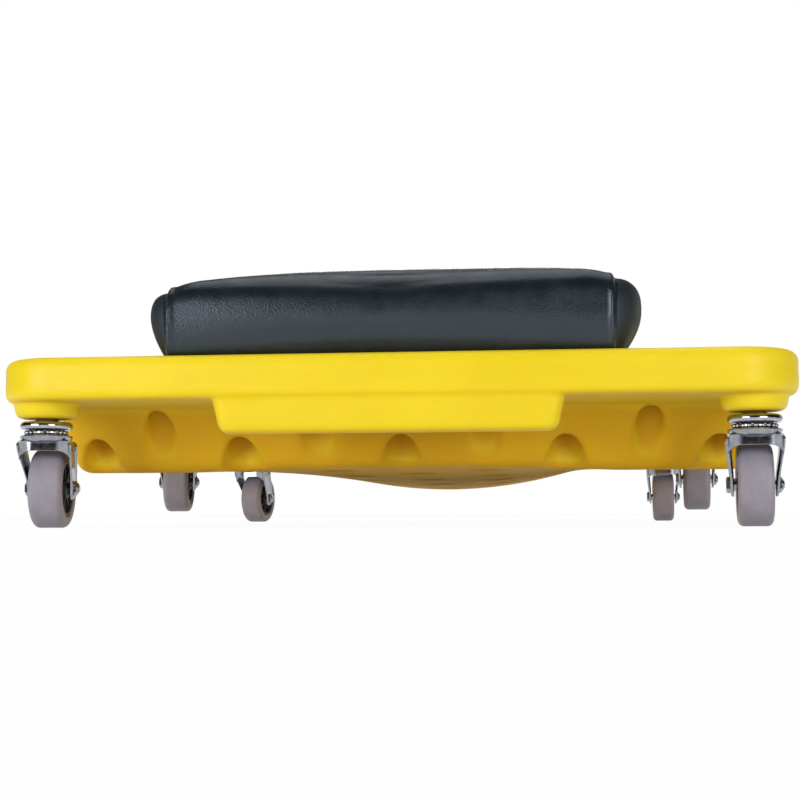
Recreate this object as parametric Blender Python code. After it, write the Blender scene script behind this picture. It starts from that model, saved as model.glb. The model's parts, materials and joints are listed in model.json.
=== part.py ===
"""Plastic mechanic creeper on six swivel casters, with a padded headrest.

Metres, +Z up, floor at z = 0. The head end faces -Y and X runs across.
"""
import math

import bmesh
import bpy
from mathutils import Matrix, Vector

# Clearance between two solids that touch on the real object
GAP = 0.0003

# Deck rim
DECK_LENGTH = 1.016
DECK_WIDTH = 0.744
RIM_TOP = 0.158
RIM_HEIGHT = 0.040
CORNER_RADIUS = 0.060
CORNER_STEPS = 6
EDGE_ROUND = 0.009
EDGE_STEPS = 2

# Deep underside: a pan with a ramp at each end, arched at the head, and a trough along the middle
PAN_SIDE_INSET = 0.020
PAN_SIDE_DRAFT = 0.012
PAN_END_INSET = 0.108
PAN_BOW = 0.010
RAMP_LENGTH = 0.045
PAN_HEAD_DEPTH = 0.063
PAN_FOOT_DEPTH = 0.032
PAN_OVERLAP = 0.010
TROUGH_HALF_WIDTH = 0.215
TROUGH_HEAD_DEPTH = 0.0585
TROUGH_DEPTH = 0.069
TROUGH_STEPS = 8
PAN_STATIONS = 6

# Lying bed moulded into the top
BED_HALF_WIDTH = 0.240
BED_SIDE_DRAFT = 0.018
BED_HEAD_INSET = 0.222
BED_FOOT_INSET = 0.090
BED_RAMP_LENGTH = 0.055
BED_EDGE_DEPTH = 0.022
BED_DEPTH = 0.052
BED_STEPS = 8
BED_STATIONS = 4

# Tool trays at the sides, between the head and middle casters
TRAY_WIDTH = 0.058
TRAY_LENGTH = 0.170
TRAY_DEPTH = 0.050
TRAY_DRAFT = 0.004
TRAY_CORNER = 0.014
TRAY_SIDE_INSET = 0.038
TRAY_HEAD_INSET = 0.212

# Grip lip under the head end
LIP_WIDTH = 0.326
LIP_DEPTH = 0.032
LIP_THICKNESS = 0.030
LIP_SETBACK = 0.005
LIP_DRAFT = 0.004
LIP_END_DRAFT = 0.009
LIP_CORNER = 0.010

# Moulded cones that tie the underside to the top
KISS_PITCH = 0.163
KISS_ROW_STEP = 0.080
KISS_RAMP_ROW_STEP = 0.020
KISS_RAMP_INSET = 0.1315
KISS_SIDE_MARGIN = 0.040
KISS_MOUTH_RADIUS = 0.0195
KISS_TIP_RADIUS = 0.0085
KISS_WEB = 0.012
KISS_MARGIN = 0.024
KISS_SIDES = 10

# Caster places
CASTER_EDGE = 0.041
HEAD_INSET = 0.050
FOOT_INSET = 0.068
BOSS_RADIUS = 0.031
BOSS_HEIGHT = 0.0145
MIDDLE_RECESS = 0.002
POCKET_CLEARANCE = 0.012
REST_SWIVEL_DEG = {
    "head_left": -8,
    "head_right": 6,
    "middle_left": -7,
    "middle_right": 5,
    "foot_left": 10,
    "foot_right": 3,
}

# Caster stem and races
STEM_RADIUS = 0.0055
STEM_LENGTH = 0.030
STEM_CHAMFER = 0.0015
NECK_RADIUS = 0.0110
NECK_LENGTH = 0.0028
RACE_RADIUS = 0.0245
RACE_HEIGHT = 0.0077
RACE_CHAMFER = 0.0025
BALL_DIAMETER = 0.0050
BALL_COUNT = 20
BALL_CIRCLE_RADIUS = 0.0185
CAGE_INNER_RADIUS = 0.0145
KINGPIN_RADIUS = 0.0060
KINGPIN_HEAD_RADIUS = 0.0090
KINGPIN_HEAD_HEIGHT = 0.0035
KINGPIN_DOME_RADIUS = 0.0063
TURN_SIDES = 16

# Caster fork
FORK_PLATE = 0.0026
CROWN_HEIGHT = 0.0065
CROWN_BASE_RADIUS = 0.0190
CROWN_EDGE = 0.0030
FORK_SPLAY = 0.0050
CROWN_BRIDGE_FRONT = 0.012
CROWN_BRIDGE_BACK = 0.018
LEG_EYE_RADIUS = 0.0105
LEG_EYE_STEPS = 6
TRAIL = 0.028

# Caster wheel and axle
WHEEL_RADIUS = 0.0381
TREAD_WIDTH = 0.032
TREAD_THICKNESS = 0.0105
TREAD_ROUND = 0.005
TREAD_SIDES = 24
HUB_WIDTH = 0.030
HUB_WEB_WIDTH = 0.014
HUB_BOSS_RADIUS = 0.0105
WHEEL_SIDE_CLEARANCE = 0.0025
BUSH_RADIUS = 0.0060
BUSH_SIDES = 12
BOLT_RADIUS = 0.0040
HEX_FLATS = 0.0130
HEX_HEIGHT = 0.0040
BOLT_TAIL = 0.0010

# Headrest
HEADREST_WIDTH = 0.460
HEADREST_LENGTH = 0.190
HEADREST_HEIGHT = 0.0905
HEADREST_REAR_DROP = 0.022
HEADREST_INSET = 0.010
HEADREST_CORNER = 0.030
HEADREST_PINCH = 0.005
HEADREST_TUCK = 0.012
HEADREST_CROWN = 0.010
HEADREST_EDGE_ROUND = 0.018
HEADREST_RIDGE = 0.008
HEADREST_SIDE_STEPS = 3
HEADREST_EDGE_STEPS = 9
HEADREST_CROWN_STEPS = 4
BOARD_THICKNESS = 0.012
BOARD_MARGIN = 0.022
BOARD_CORNER = 0.012

# Headrest screws
SCREW_RADIUS = 0.0024
SCREW_HEAD_RADIUS = 0.0055
SCREW_HEAD_HEIGHT = 0.0035
SCREW_DOME_RADIUS = 0.0038
SCREW_BITE = 0.009
SCREW_SIDES = 8

# Worked out from the sizes above
RIM_BOTTOM = RIM_TOP - RIM_HEIGHT
PAN_HALF_WIDTH = DECK_WIDTH / 2 - PAN_SIDE_INSET
STEM_X = DECK_WIDTH / 2 - CASTER_EDGE
HEAD_END = -DECK_LENGTH / 2
FOOT_END = DECK_LENGTH / 2
HEAD_ROW = HEAD_END + HEAD_INSET
FOOT_ROW = FOOT_END - FOOT_INSET
ROWS = {"head": HEAD_ROW, "middle": (HEAD_ROW + FOOT_ROW) / 2, "foot": FOOT_ROW}
SIDES = {"left": -1, "right": 1}
CORNER_SEAT = RIM_BOTTOM - BOSS_HEIGHT
MIDDLE_SEAT = RIM_BOTTOM + MIDDLE_RECESS
AXLE_DROP = CORNER_SEAT - WHEEL_RADIUS
CROWN_TOP = -(NECK_LENGTH + RACE_HEIGHT + BALL_DIAMETER + 2 * GAP)
FORK_INNER = TREAD_WIDTH / 2 + WHEEL_SIDE_CLEARANCE
FORK_OUTER = FORK_INNER + FORK_PLATE
SWEEP_RADIUS = math.hypot(TRAIL + WHEEL_RADIUS, TREAD_WIDTH / 2)
PAN_TOP = RIM_BOTTOM + PAN_OVERLAP
BOARD_BOTTOM = RIM_TOP + GAP


def clear_scene():
    for old in list(bpy.data.objects):
        bpy.data.objects.remove(old, do_unlink=True)


def material(name, colour, roughness, metallic=0.0):
    made = bpy.data.materials.new(name)
    made.use_nodes = True
    shader = made.node_tree.nodes["Principled BSDF"]
    shader.inputs["Base Color"].default_value = (*colour, 1.0)
    shader.inputs["Roughness"].default_value = roughness
    shader.inputs["Metallic"].default_value = metallic
    return made


def mesh_of(name, bm):
    bmesh.ops.recalc_face_normals(bm, faces=bm.faces)
    if bm.calc_volume(signed=True) < 0:
        bmesh.ops.reverse_faces(bm, faces=bm.faces)
    mesh = bpy.data.meshes.new(name)
    bm.to_mesh(mesh)
    bm.free()
    return mesh


def place(name, mesh, finish=None, location=(0, 0, 0), parent=None, smooth_deg=None):
    piece = bpy.data.objects.new(name, mesh)
    bpy.context.scene.collection.objects.link(piece)
    piece.location = location
    piece.parent = parent
    if finish and not mesh.materials:
        mesh.materials.append(finish)
    if smooth_deg:
        mesh.shade_smooth()
        mesh.set_sharp_from_angle(angle=math.radians(smooth_deg))
    return piece


def guide(name, mesh):
    """A shape that only cuts or joins another one."""
    piece = place(name, mesh)
    piece.hide_render = True
    piece.display_type = "WIRE"
    return piece


def combine(piece, operation, name, mesh):
    step = piece.modifiers.new(name, "BOOLEAN")
    step.operation = operation
    step.solver = "EXACT"
    step.object = guide(name, mesh)


def settled_mesh(name, base, steps):
    """The mesh of base after its Boolean steps, for pieces that share it."""
    piece = guide(name, base)
    for index, (operation, mesh) in enumerate(steps):
        combine(piece, operation, f"{name}_step{index}", mesh)
    graph = bpy.context.evaluated_depsgraph_get()
    return bpy.data.meshes.new_from_object(piece.evaluated_get(graph))


def add_rings(bm, rings, closed=False):
    """Skin a list of rings of points, with a cap at both ends or the last joined to the first."""
    made = [[bm.verts.new(point) for point in ring] for ring in rings]
    count = len(made[0])
    last = len(made) if closed else len(made) - 1
    for level in range(last):
        low = made[level]
        high = made[(level + 1) % len(made)]
        for i in range(count):
            j = (i + 1) % count
            bm.faces.new((low[i], low[j], high[j], high[i]))
    if not closed:
        bm.faces.new(reversed(made[0]))
        bm.faces.new(made[-1])


def rings_mesh(name, rings, closed=False):
    bm = bmesh.new()
    add_rings(bm, rings, closed)
    return mesh_of(name, bm)


def circle(radius, z, sides, x=0.0, y=0.0):
    turn = [2 * math.pi * i / sides for i in range(sides)]
    return [(x + radius * math.cos(a), y + radius * math.sin(a), z) for a in turn]


def turned(name, profile, sides, closed=False):
    """Turn a profile of (radius, height) points about Z; closed leaves a bore."""
    return rings_mesh(name, [circle(r, z, sides) for r, z in profile], closed)


def across(mesh):
    """Lay a mesh that was turned about Z along X."""
    mesh.transform(Matrix.Rotation(math.pi / 2, 4, "Y"))
    return mesh


def wheel_turned(name, profile):
    """A piece of the wheel, turned about X so that one flat of its tread faces the floor."""
    mesh = across(turned(name, profile, TREAD_SIDES, closed=True))
    mesh.transform(Matrix.Rotation(math.pi / TREAD_SIDES, 4, "X"))
    return mesh


def rounded_rectangle(half_x, half_y, radius, steps, z, x=0.0, y=0.0):
    radius = min(radius, half_x, half_y)
    points = []
    for quarter, (sx, sy) in enumerate(((1, 1), (-1, 1), (-1, -1), (1, -1))):
        for step in range(steps + 1):
            angle = math.pi / 2 * (quarter + step / steps)
            px = sx * (half_x - radius) + radius * math.cos(angle)
            py = sy * (half_y - radius) + radius * math.sin(angle)
            points.append((x + px, y + py, z))
    return points


def drafted_block(name, half_x, half_y, corner, drafts, bottom, top, x, y, steps=4):
    """A block with rounded corners that is wider by its X and Y drafts on each side at its top."""
    rings = [
        rounded_rectangle(half_x - drafts[0], half_y - drafts[1], corner, steps, bottom, x, y),
        rounded_rectangle(half_x, half_y, corner, steps, top, x, y),
    ]
    return rings_mesh(name, rings)


def blend(low, high, share):
    return low + (high - low) * share


def bowl_mesh(name, columns, rows, rim_z):
    """A shell of rows of points whose outer edge is level, closed by a flat lid at rim_z."""
    bm = bmesh.new()
    grid = []
    for r, row in enumerate(rows):
        line = []
        for c, (x, y, z) in enumerate(row):
            edge = r in (0, len(rows) - 1) or c in (0, columns - 1)
            line.append(bm.verts.new((x, y, rim_z if edge else z)))
        grid.append(line)
    for low, high in zip(grid, grid[1:]):
        for c in range(columns - 1):
            bm.faces.new((low[c], low[c + 1], high[c + 1], high[c]))
    lid = grid[0][:] + [line[-1] for line in grid[1:]]
    lid += grid[-1][-2::-1] + [line[0] for line in grid[-2:0:-1]]
    bm.faces.new(lid)
    return mesh_of(name, bm)


def spread(low, high, steps):
    return [blend(low, high, i / steps) for i in range(steps + 1)]


# Deck


def pan_bow(x):
    return PAN_BOW * (x / PAN_HALF_WIDTH) ** 2


def pan_span(x):
    """Where the level part of the underside starts and ends at this distance from the middle."""
    head = HEAD_END + PAN_END_INSET + RAMP_LENGTH + pan_bow(x)
    foot = FOOT_END - PAN_END_INSET - RAMP_LENGTH - pan_bow(x)
    return head, foot


def pan_floor(x, share):
    """Height of the underside, share 0 at the head ramp and 1 at the foot ramp."""
    flat = RIM_BOTTOM - blend(PAN_HEAD_DEPTH, PAN_FOOT_DEPTH, share)
    keel = RIM_BOTTOM - blend(TROUGH_HEAD_DEPTH, TROUGH_DEPTH, share)
    across_share = max(0.0, 1 - (x / TROUGH_HALF_WIDTH) ** 2)
    return blend(flat, keel, across_share)


def pan_mesh():
    side = PAN_HALF_WIDTH - PAN_SIDE_DRAFT
    columns = [-PAN_HALF_WIDTH, -side]
    columns += spread(-TROUGH_HALF_WIDTH, TROUGH_HALF_WIDTH, TROUGH_STEPS)
    columns += [side, PAN_HALF_WIDTH]
    shares = spread(0, 1, PAN_STATIONS)
    rows = []
    rows.append([(x, pan_span(x)[0] - RAMP_LENGTH, 0) for x in columns])
    for share in shares:
        rows.append([(x, blend(*pan_span(x), share), pan_floor(x, share)) for x in columns])
    rows.append([(x, pan_span(x)[1] + RAMP_LENGTH, 0) for x in columns])
    return bowl_mesh("pan", len(columns), rows, PAN_TOP)


def bed_height(x):
    share = min(1.0, abs(x) / (BED_HALF_WIDTH - BED_SIDE_DRAFT))
    return RIM_TOP - blend(BED_DEPTH, BED_EDGE_DEPTH, share ** 2)


def bed_mesh():
    floor_half = BED_HALF_WIDTH - BED_SIDE_DRAFT
    columns = [-BED_HALF_WIDTH] + spread(-floor_half, floor_half, BED_STEPS) + [BED_HALF_WIDTH]
    head = HEAD_END + BED_HEAD_INSET
    foot = FOOT_END - BED_FOOT_INSET
    stops = [head] + spread(head + BED_RAMP_LENGTH, foot - BED_RAMP_LENGTH, BED_STATIONS) + [foot]
    rows = [[(x, y, bed_height(x)) for x in columns] for y in stops]
    return bowl_mesh("bed", len(columns), rows, RIM_TOP + GAP)


def tray_centre(side):
    x = side * (DECK_WIDTH / 2 - TRAY_SIDE_INSET - TRAY_WIDTH / 2)
    return x, HEAD_END + TRAY_HEAD_INSET + TRAY_LENGTH / 2


def deck_top(x, y):
    """Height of the top of the deck above a point of the underside."""
    for side in SIDES.values():
        tray_x, tray_y = tray_centre(side)
        over_x = abs(x - tray_x) < TRAY_WIDTH / 2 + KISS_TIP_RADIUS
        over_y = abs(y - tray_y) < TRAY_LENGTH / 2 + KISS_TIP_RADIUS
        if over_x and over_y:
            return RIM_TOP - TRAY_DEPTH
    bed_head = HEAD_END + BED_HEAD_INSET - KISS_TIP_RADIUS
    bed_foot = FOOT_END - BED_FOOT_INSET + KISS_TIP_RADIUS
    if abs(x) < BED_HALF_WIDTH + KISS_TIP_RADIUS and bed_head < y < bed_foot:
        return bed_height(max(0.0, abs(x) - KISS_TIP_RADIUS))
    return RIM_TOP


def ramp_row(x, order):
    """The two rows of cones on the head ramp follow its bow."""
    return HEAD_END + KISS_RAMP_INSET + order * KISS_RAMP_ROW_STEP + pan_bow(x)


def ramp_columns():
    """Distances from the middle of the cones in the two rows of the head ramp."""
    near = [0.5 * KISS_PITCH, 1.5 * KISS_PITCH]
    far = [0.0, KISS_PITCH]
    outermost = min(2 * KISS_PITCH, PAN_HALF_WIDTH - KISS_SIDE_MARGIN)
    if outermost > near[-1] + 2 * KISS_MOUTH_RADIUS:
        far.append(outermost)
    return near, far


def kiss_places():
    """Centres of the cones, half a pitch off on every other row."""
    places = []
    for order, columns in enumerate(ramp_columns()):
        for x in columns:
            for sign in SIDES.values() if x else [1]:
                places.append((sign * x, ramp_row(x, order)))
    start = pan_span(0)[0] + KISS_ROW_STEP
    rows = int((pan_span(0)[1] - start - KISS_MARGIN) / KISS_ROW_STEP) + 1
    for row in range(rows):
        y = start + row * KISS_ROW_STEP
        offsets = (-1.5, -0.5, 0.5, 1.5) if row % 2 == 0 else (-1, 0, 1)
        for offset in offsets:
            x = offset * KISS_PITCH
            head, foot = pan_span(x)
            if head + KISS_MARGIN < y < foot - KISS_MARGIN:
                places.append((x, y))
    return places


def kiss_cones():
    bm = bmesh.new()
    for x, y in kiss_places():
        tip = deck_top(x, y) - KISS_WEB
        mouth = circle(KISS_MOUTH_RADIUS, RIM_BOTTOM - TROUGH_DEPTH - GAP, KISS_SIDES, x, y)
        end = circle(KISS_TIP_RADIUS, tip, KISS_SIDES, x, y)
        add_rings(bm, [mouth, end])
    return mesh_of("kiss_cones", bm)


def screw_places():
    """The four cones under the headrest that hold its screws, two in each row of the head ramp."""
    places = []
    near, far = ramp_columns()
    for order, x in enumerate((near[0], far[1])):
        places += [(sign * x, ramp_row(x, order)) for sign in SIDES.values()]
    return places


def bores_mesh(name, places, radius, bottom, top, sides):
    bm = bmesh.new()
    for x, y in places:
        add_rings(bm, [circle(radius, bottom, sides, x, y), circle(radius, top, sides, x, y)])
    return mesh_of(name, bm)


def rim_mesh():
    turn = [math.pi / 2 * i / EDGE_STEPS for i in range(EDGE_STEPS + 1)]
    steps = [(EDGE_ROUND * (1 - math.sin(a)), RIM_BOTTOM + EDGE_ROUND * (1 - math.cos(a))) for a in turn]
    steps += [(EDGE_ROUND * (1 - math.cos(a)), RIM_TOP - EDGE_ROUND * (1 - math.sin(a))) for a in turn]
    rings = []
    for inset, z in steps:
        half_x = DECK_WIDTH / 2 - inset
        half_y = DECK_LENGTH / 2 - inset
        rings.append(rounded_rectangle(half_x, half_y, CORNER_RADIUS - inset, CORNER_STEPS, z))
    return rings_mesh("deck_body", rings)


def make_deck(finish):
    deck = place("deck_body", rim_mesh(), finish)
    corners = [(side * STEM_X, ROWS[row]) for row in ("head", "foot") for side in SIDES.values()]
    middles = [(side * STEM_X, ROWS["middle"]) for side in SIDES.values()]
    bosses = bores_mesh("bosses", corners, BOSS_RADIUS, CORNER_SEAT, PAN_TOP, TURN_SIDES)
    lip_half = LIP_THICKNESS / 2
    lip_y = HEAD_END + LIP_SETBACK + lip_half
    lip = drafted_block(
        "lip", LIP_WIDTH / 2, lip_half, LIP_CORNER, (LIP_END_DRAFT, LIP_DRAFT),
        RIM_BOTTOM - LIP_DEPTH, PAN_TOP, 0, lip_y,
    )
    pocket_radius = SWEEP_RADIUS + POCKET_CLEARANCE
    pockets = bores_mesh("pockets", middles, pocket_radius, 0, MIDDLE_SEAT, 2 * TURN_SIDES)
    bore_radius = STEM_RADIUS + GAP
    bore_rise = STEM_LENGTH + GAP
    corner_bores = bores_mesh(
        "corner_bores", corners, bore_radius, CORNER_SEAT - GAP, CORNER_SEAT + bore_rise, TURN_SIDES
    )
    middle_bores = bores_mesh(
        "middle_bores", middles, bore_radius, MIDDLE_SEAT - GAP, MIDDLE_SEAT + bore_rise, TURN_SIDES
    )
    screw_top = RIM_TOP + GAP
    screw_bottom = RIM_TOP - KISS_WEB - GAP
    screw_bores = bores_mesh(
        "screw_bores", screw_places(), SCREW_RADIUS + GAP, screw_bottom, screw_top, SCREW_SIDES
    )
    combine(deck, "UNION", "deck_pan", pan_mesh())
    combine(deck, "UNION", "deck_bosses", bosses)
    combine(deck, "UNION", "deck_lip", lip)
    combine(deck, "DIFFERENCE", "deck_bed", bed_mesh())
    for name, side in SIDES.items():
        x, y = tray_centre(side)
        tray = drafted_block(
            "tray", TRAY_WIDTH / 2, TRAY_LENGTH / 2, TRAY_CORNER, (TRAY_DRAFT, TRAY_DRAFT),
            RIM_TOP - TRAY_DEPTH, RIM_TOP + GAP, x, y,
        )
        combine(deck, "DIFFERENCE", f"deck_tray_{name}", tray)
    combine(deck, "DIFFERENCE", "deck_pockets", pockets)
    combine(deck, "DIFFERENCE", "deck_kiss_cones", kiss_cones())
    combine(deck, "DIFFERENCE", "deck_corner_bores", corner_bores)
    combine(deck, "DIFFERENCE", "deck_middle_bores", middle_bores)
    combine(deck, "DIFFERENCE", "deck_screw_bores", screw_bores)


# Headrest


def headrest_centre():
    return HEAD_END + HEADREST_INSET + HEADREST_LENGTH / 2


def cushion_ring(inset, height):
    """Outline of one level of the cushion about its own centre."""
    half_x = HEADREST_WIDTH / 2 - inset
    half_y = HEADREST_LENGTH / 2 - inset
    ring = []
    for x, y, _ in rounded_rectangle(half_x, half_y, HEADREST_CORNER, CORNER_STEPS, 0):
        ring.append(Vector((x, y, height)))
    return ring


def cushion_levels():
    """(inset, height) of each level: tucked in at the board, a rounded top edge, then the crown."""
    quarter = math.pi / 2
    shoulder = HEADREST_HEIGHT - HEADREST_EDGE_ROUND - HEADREST_CROWN
    levels = []
    for a in spread(0, quarter, HEADREST_SIDE_STEPS):
        levels.append((HEADREST_TUCK * (1 - math.sin(a)), shoulder * a / quarter))
    for a in spread(0, quarter, HEADREST_EDGE_STEPS)[1:]:
        inset = HEADREST_EDGE_ROUND * (1 - math.cos(a))
        levels.append((inset, shoulder + HEADREST_EDGE_ROUND * math.sin(a)))
    edge_inset, edge_height = levels[-1]
    reach = HEADREST_LENGTH / 2 - HEADREST_RIDGE - edge_inset
    for a in spread(0, quarter, HEADREST_CROWN_STEPS)[1:]:
        share = math.sin(a)
        levels.append((edge_inset + reach * share, edge_height + HEADREST_CROWN * share))
    return levels


def cushion_mesh():
    """Sides that draw in between the corners, and a crowned top that falls to the back."""
    rings = []
    for inset, height in cushion_levels():
        ring = cushion_ring(inset, height)
        rise = height / HEADREST_HEIGHT
        for point in ring:
            along = max(0.0, 1 - abs(2 * point.x / HEADREST_WIDTH))
            drawn = HEADREST_PINCH * math.sin(math.pi * along) * (1 - rise)
            point.y -= math.copysign(drawn, point.y)
            slope = 0.5 + point.y / HEADREST_LENGTH
            point.z = RIM_TOP + GAP + height - HEADREST_REAR_DROP * slope * rise
            point.y += headrest_centre()
        rings.append(ring)
    return rings_mesh("headrest_cushion", rings)


def board_mesh(name, extra):
    half_x = HEADREST_WIDTH / 2 - BOARD_MARGIN + extra
    half_y = HEADREST_LENGTH / 2 - BOARD_MARGIN + extra
    top = BOARD_BOTTOM + BOARD_THICKNESS + extra
    return drafted_block(
        name, half_x, half_y, BOARD_CORNER, (0, 0), BOARD_BOTTOM - extra, top, 0, headrest_centre()
    )


def make_headrest(vinyl, wood, zinc):
    cushion = place("headrest_cushion", cushion_mesh(), vinyl, smooth_deg=40)
    combine(cushion, "DIFFERENCE", "cushion_board_pocket", board_mesh("board_pocket", GAP))
    board = place("headrest_board", board_mesh("headrest_board", 0), wood)
    head_top = RIM_TOP - KISS_WEB - GAP
    tip = BOARD_BOTTOM + SCREW_BITE
    pilots = bores_mesh(
        "pilots", screw_places(), SCREW_RADIUS + GAP, BOARD_BOTTOM - GAP, tip + GAP, SCREW_SIDES
    )
    combine(board, "DIFFERENCE", "board_pilots", pilots)
    profile = [
        (SCREW_DOME_RADIUS, -SCREW_HEAD_HEIGHT),
        (SCREW_HEAD_RADIUS, -SCREW_HEAD_HEIGHT / 2),
        (SCREW_HEAD_RADIUS, 0),
        (SCREW_RADIUS, 0),
        (SCREW_RADIUS, tip - head_top),
    ]
    screw = turned("headrest_screw", profile, SCREW_SIDES)
    for number, (x, y) in enumerate(screw_places(), 1):
        place(f"headrest_screw_{number}", screw, zinc, (x, y, head_top), smooth_deg=40)


# Casters: each is modelled about its stem, with z = 0 on the seat under the deck


def stem_mesh():
    race_bottom = -(NECK_LENGTH + RACE_HEIGHT)
    head_top = CROWN_TOP - CROWN_HEIGHT - GAP
    profile = [
        (KINGPIN_DOME_RADIUS, head_top - KINGPIN_HEAD_HEIGHT),
        (KINGPIN_HEAD_RADIUS, head_top - KINGPIN_HEAD_HEIGHT / 2),
        (KINGPIN_HEAD_RADIUS, head_top),
        (KINGPIN_RADIUS, head_top),
        (KINGPIN_RADIUS, race_bottom),
        (RACE_RADIUS - RACE_CHAMFER, race_bottom),
        (RACE_RADIUS, race_bottom + RACE_CHAMFER),
        (RACE_RADIUS, -NECK_LENGTH - RACE_CHAMFER / 2),
        (RACE_RADIUS - RACE_CHAMFER, -NECK_LENGTH),
        (NECK_RADIUS, -NECK_LENGTH),
        (NECK_RADIUS, -GAP),
        (STEM_RADIUS, -GAP),
        (STEM_RADIUS, STEM_LENGTH - STEM_CHAMFER),
        (STEM_RADIUS - STEM_CHAMFER, STEM_LENGTH),
    ]
    return turned("caster_stem", profile, TURN_SIDES)


def ball_ring_mesh():
    """A caged ring of balls, with one scallop of its outer edge for each ball."""
    sides = 2 * BALL_COUNT
    ball = BALL_DIAMETER / 2
    top = CROWN_TOP + GAP + BALL_DIAMETER
    outer = [BALL_CIRCLE_RADIUS + ball * (1 - i % 2) for i in range(sides)]

    def scalloped(z):
        turn = [2 * math.pi * i / sides for i in range(sides)]
        return [(r * math.cos(a), r * math.sin(a), z) for r, a in zip(outer, turn)]

    bottom = CROWN_TOP + GAP
    rings = [circle(CAGE_INNER_RADIUS, bottom, sides), scalloped(bottom)]
    rings += [scalloped(top), circle(CAGE_INNER_RADIUS, top, sides)]
    return rings_mesh("caster_ball_ring", rings, closed=True)


def leg_mesh(side):
    """One fork leg: a plate that leans back and in from the crown to a flat round eye at the axle."""
    top = CROWN_TOP - CROWN_HEIGHT + FORK_PLATE / 2
    front = Vector((-CROWN_BRIDGE_FRONT, top))
    back = Vector((CROWN_BRIDGE_BACK, top))
    eye = Vector((TRAIL, -AXLE_DROP))

    def touch(corner, turn):
        """Angle on the eye where a straight edge from this corner meets it."""
        away = corner - eye
        return math.atan2(away.y, away.x) + turn * math.acos(LEG_EYE_RADIUS / away.length)

    start = touch(front, 1)
    end = touch(back, -1)
    if end < start:
        end += 2 * math.pi
    turns = spread(start, end, LEG_EYE_STEPS)
    rim = [eye + LEG_EYE_RADIUS * Vector((math.cos(a), math.sin(a))) for a in turns]
    fold = -AXLE_DROP + LEG_EYE_RADIUS
    front_fold = front.lerp(rim[0], (top - fold) / (top - rim[0].y))
    back_fold = back.lerp(rim[-1], (top - fold) / (top - rim[-1].y))
    bm = bmesh.new()
    outlines = []
    for x in (FORK_INNER, FORK_OUTER):
        upper = [bm.verts.new((side * (x + FORK_SPLAY), y, z)) for y, z in (back, front)]
        lower = [bm.verts.new((side * x, y, z)) for y, z in [front_fold] + rim + [back_fold]]
        bm.faces.new(upper + [lower[0], lower[-1]])
        bm.faces.new(lower)
        outlines.append(upper + lower)
    inner, outer = outlines
    for i in range(len(inner)):
        after = (i + 1) % len(inner)
        bm.faces.new((inner[i], inner[after], outer[after], outer[i]))
    bmesh.ops.recalc_face_normals(bm, faces=bm.faces)
    return mesh_of("fork_leg", bm)


def fork_mesh():
    crown_bottom = CROWN_TOP - CROWN_HEIGHT
    crown_profile = [
        (CROWN_BASE_RADIUS, crown_bottom),
        (RACE_RADIUS, CROWN_TOP - CROWN_EDGE),
        (RACE_RADIUS, CROWN_TOP),
    ]
    crown = turned("crown", crown_profile, TURN_SIDES)
    bridge_half = (CROWN_BRIDGE_FRONT + CROWN_BRIDGE_BACK) / 2
    bridge_y = (CROWN_BRIDGE_BACK - CROWN_BRIDGE_FRONT) / 2
    bridge = drafted_block(
        "bridge", FORK_OUTER + FORK_SPLAY, bridge_half, FORK_PLATE, (0, 0),
        crown_bottom, crown_bottom + FORK_PLATE, 0, bridge_y, 2,
    )
    hole = [circle(KINGPIN_RADIUS + GAP, z, TURN_SIDES) for z in (crown_bottom - GAP, CROWN_TOP + GAP)]
    axle_profile = [(BOLT_RADIUS + GAP, x) for x in (-2 * FORK_OUTER, 2 * FORK_OUTER)]
    axle = across(turned("axle_hole", axle_profile, BUSH_SIDES))
    axle.transform(Matrix.Translation((0, TRAIL, -AXLE_DROP)))
    steps = [("UNION", bridge)]
    steps += [("UNION", leg_mesh(side)) for side in SIDES.values()]
    steps += [("DIFFERENCE", rings_mesh("kingpin_hole", hole)), ("DIFFERENCE", axle)]
    return settled_mesh("caster_fork_shape", crown, steps)


def tread_mesh():
    outer = WHEEL_RADIUS / math.cos(math.pi / TREAD_SIDES)
    inner = WHEEL_RADIUS - TREAD_THICKNESS
    half = TREAD_WIDTH / 2
    edge = []
    for step in range(EDGE_STEPS + 1):
        angle = math.pi / 2 * step / EDGE_STEPS
        radius = outer - TREAD_ROUND * (1 - math.sin(angle))
        edge.append((radius, half - TREAD_ROUND * (1 - math.cos(angle))))
    profile = [(inner, half), (inner, -half)] + [(r, -x) for r, x in edge] + edge[::-1]
    return wheel_turned("caster_tread", profile)


def hub_mesh():
    outer = WHEEL_RADIUS - TREAD_THICKNESS - GAP
    bore = BUSH_RADIUS + GAP
    half = HUB_WIDTH / 2
    web = HUB_WEB_WIDTH / 2
    face = [(outer, half), (HUB_BOSS_RADIUS, web), (HUB_BOSS_RADIUS, half), (bore, half)]
    profile = face + [(r, -x) for r, x in reversed(face)]
    return wheel_turned("caster_hub", profile)


def bush_mesh():
    half = FORK_INNER - GAP
    bore = BOLT_RADIUS + GAP
    profile = [(bore, half), (bore, -half), (BUSH_RADIUS, -half), (BUSH_RADIUS, half)]
    return across(turned("caster_axle_bush", profile, BUSH_SIDES, closed=True))


def hexagon(x):
    radius = HEX_FLATS / math.sqrt(3)
    return [(radius * math.cos(math.pi / 3 * i), radius * math.sin(math.pi / 3 * i), x) for i in range(6)]


def bolt_mesh():
    """Hexagon head at -X, plain shank through both legs to just past the nut."""
    seat = FORK_OUTER + GAP
    head = rings_mesh("bolt_head", [hexagon(-seat - HEX_HEIGHT), hexagon(-seat)])
    end = seat + HEX_HEIGHT + BOLT_TAIL
    shank = turned("bolt_shank", [(BOLT_RADIUS, -seat - HEX_HEIGHT / 2), (BOLT_RADIUS, end)], BUSH_SIDES)
    return across(settled_mesh("caster_axle_bolt_shape", head, [("UNION", shank)]))


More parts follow.
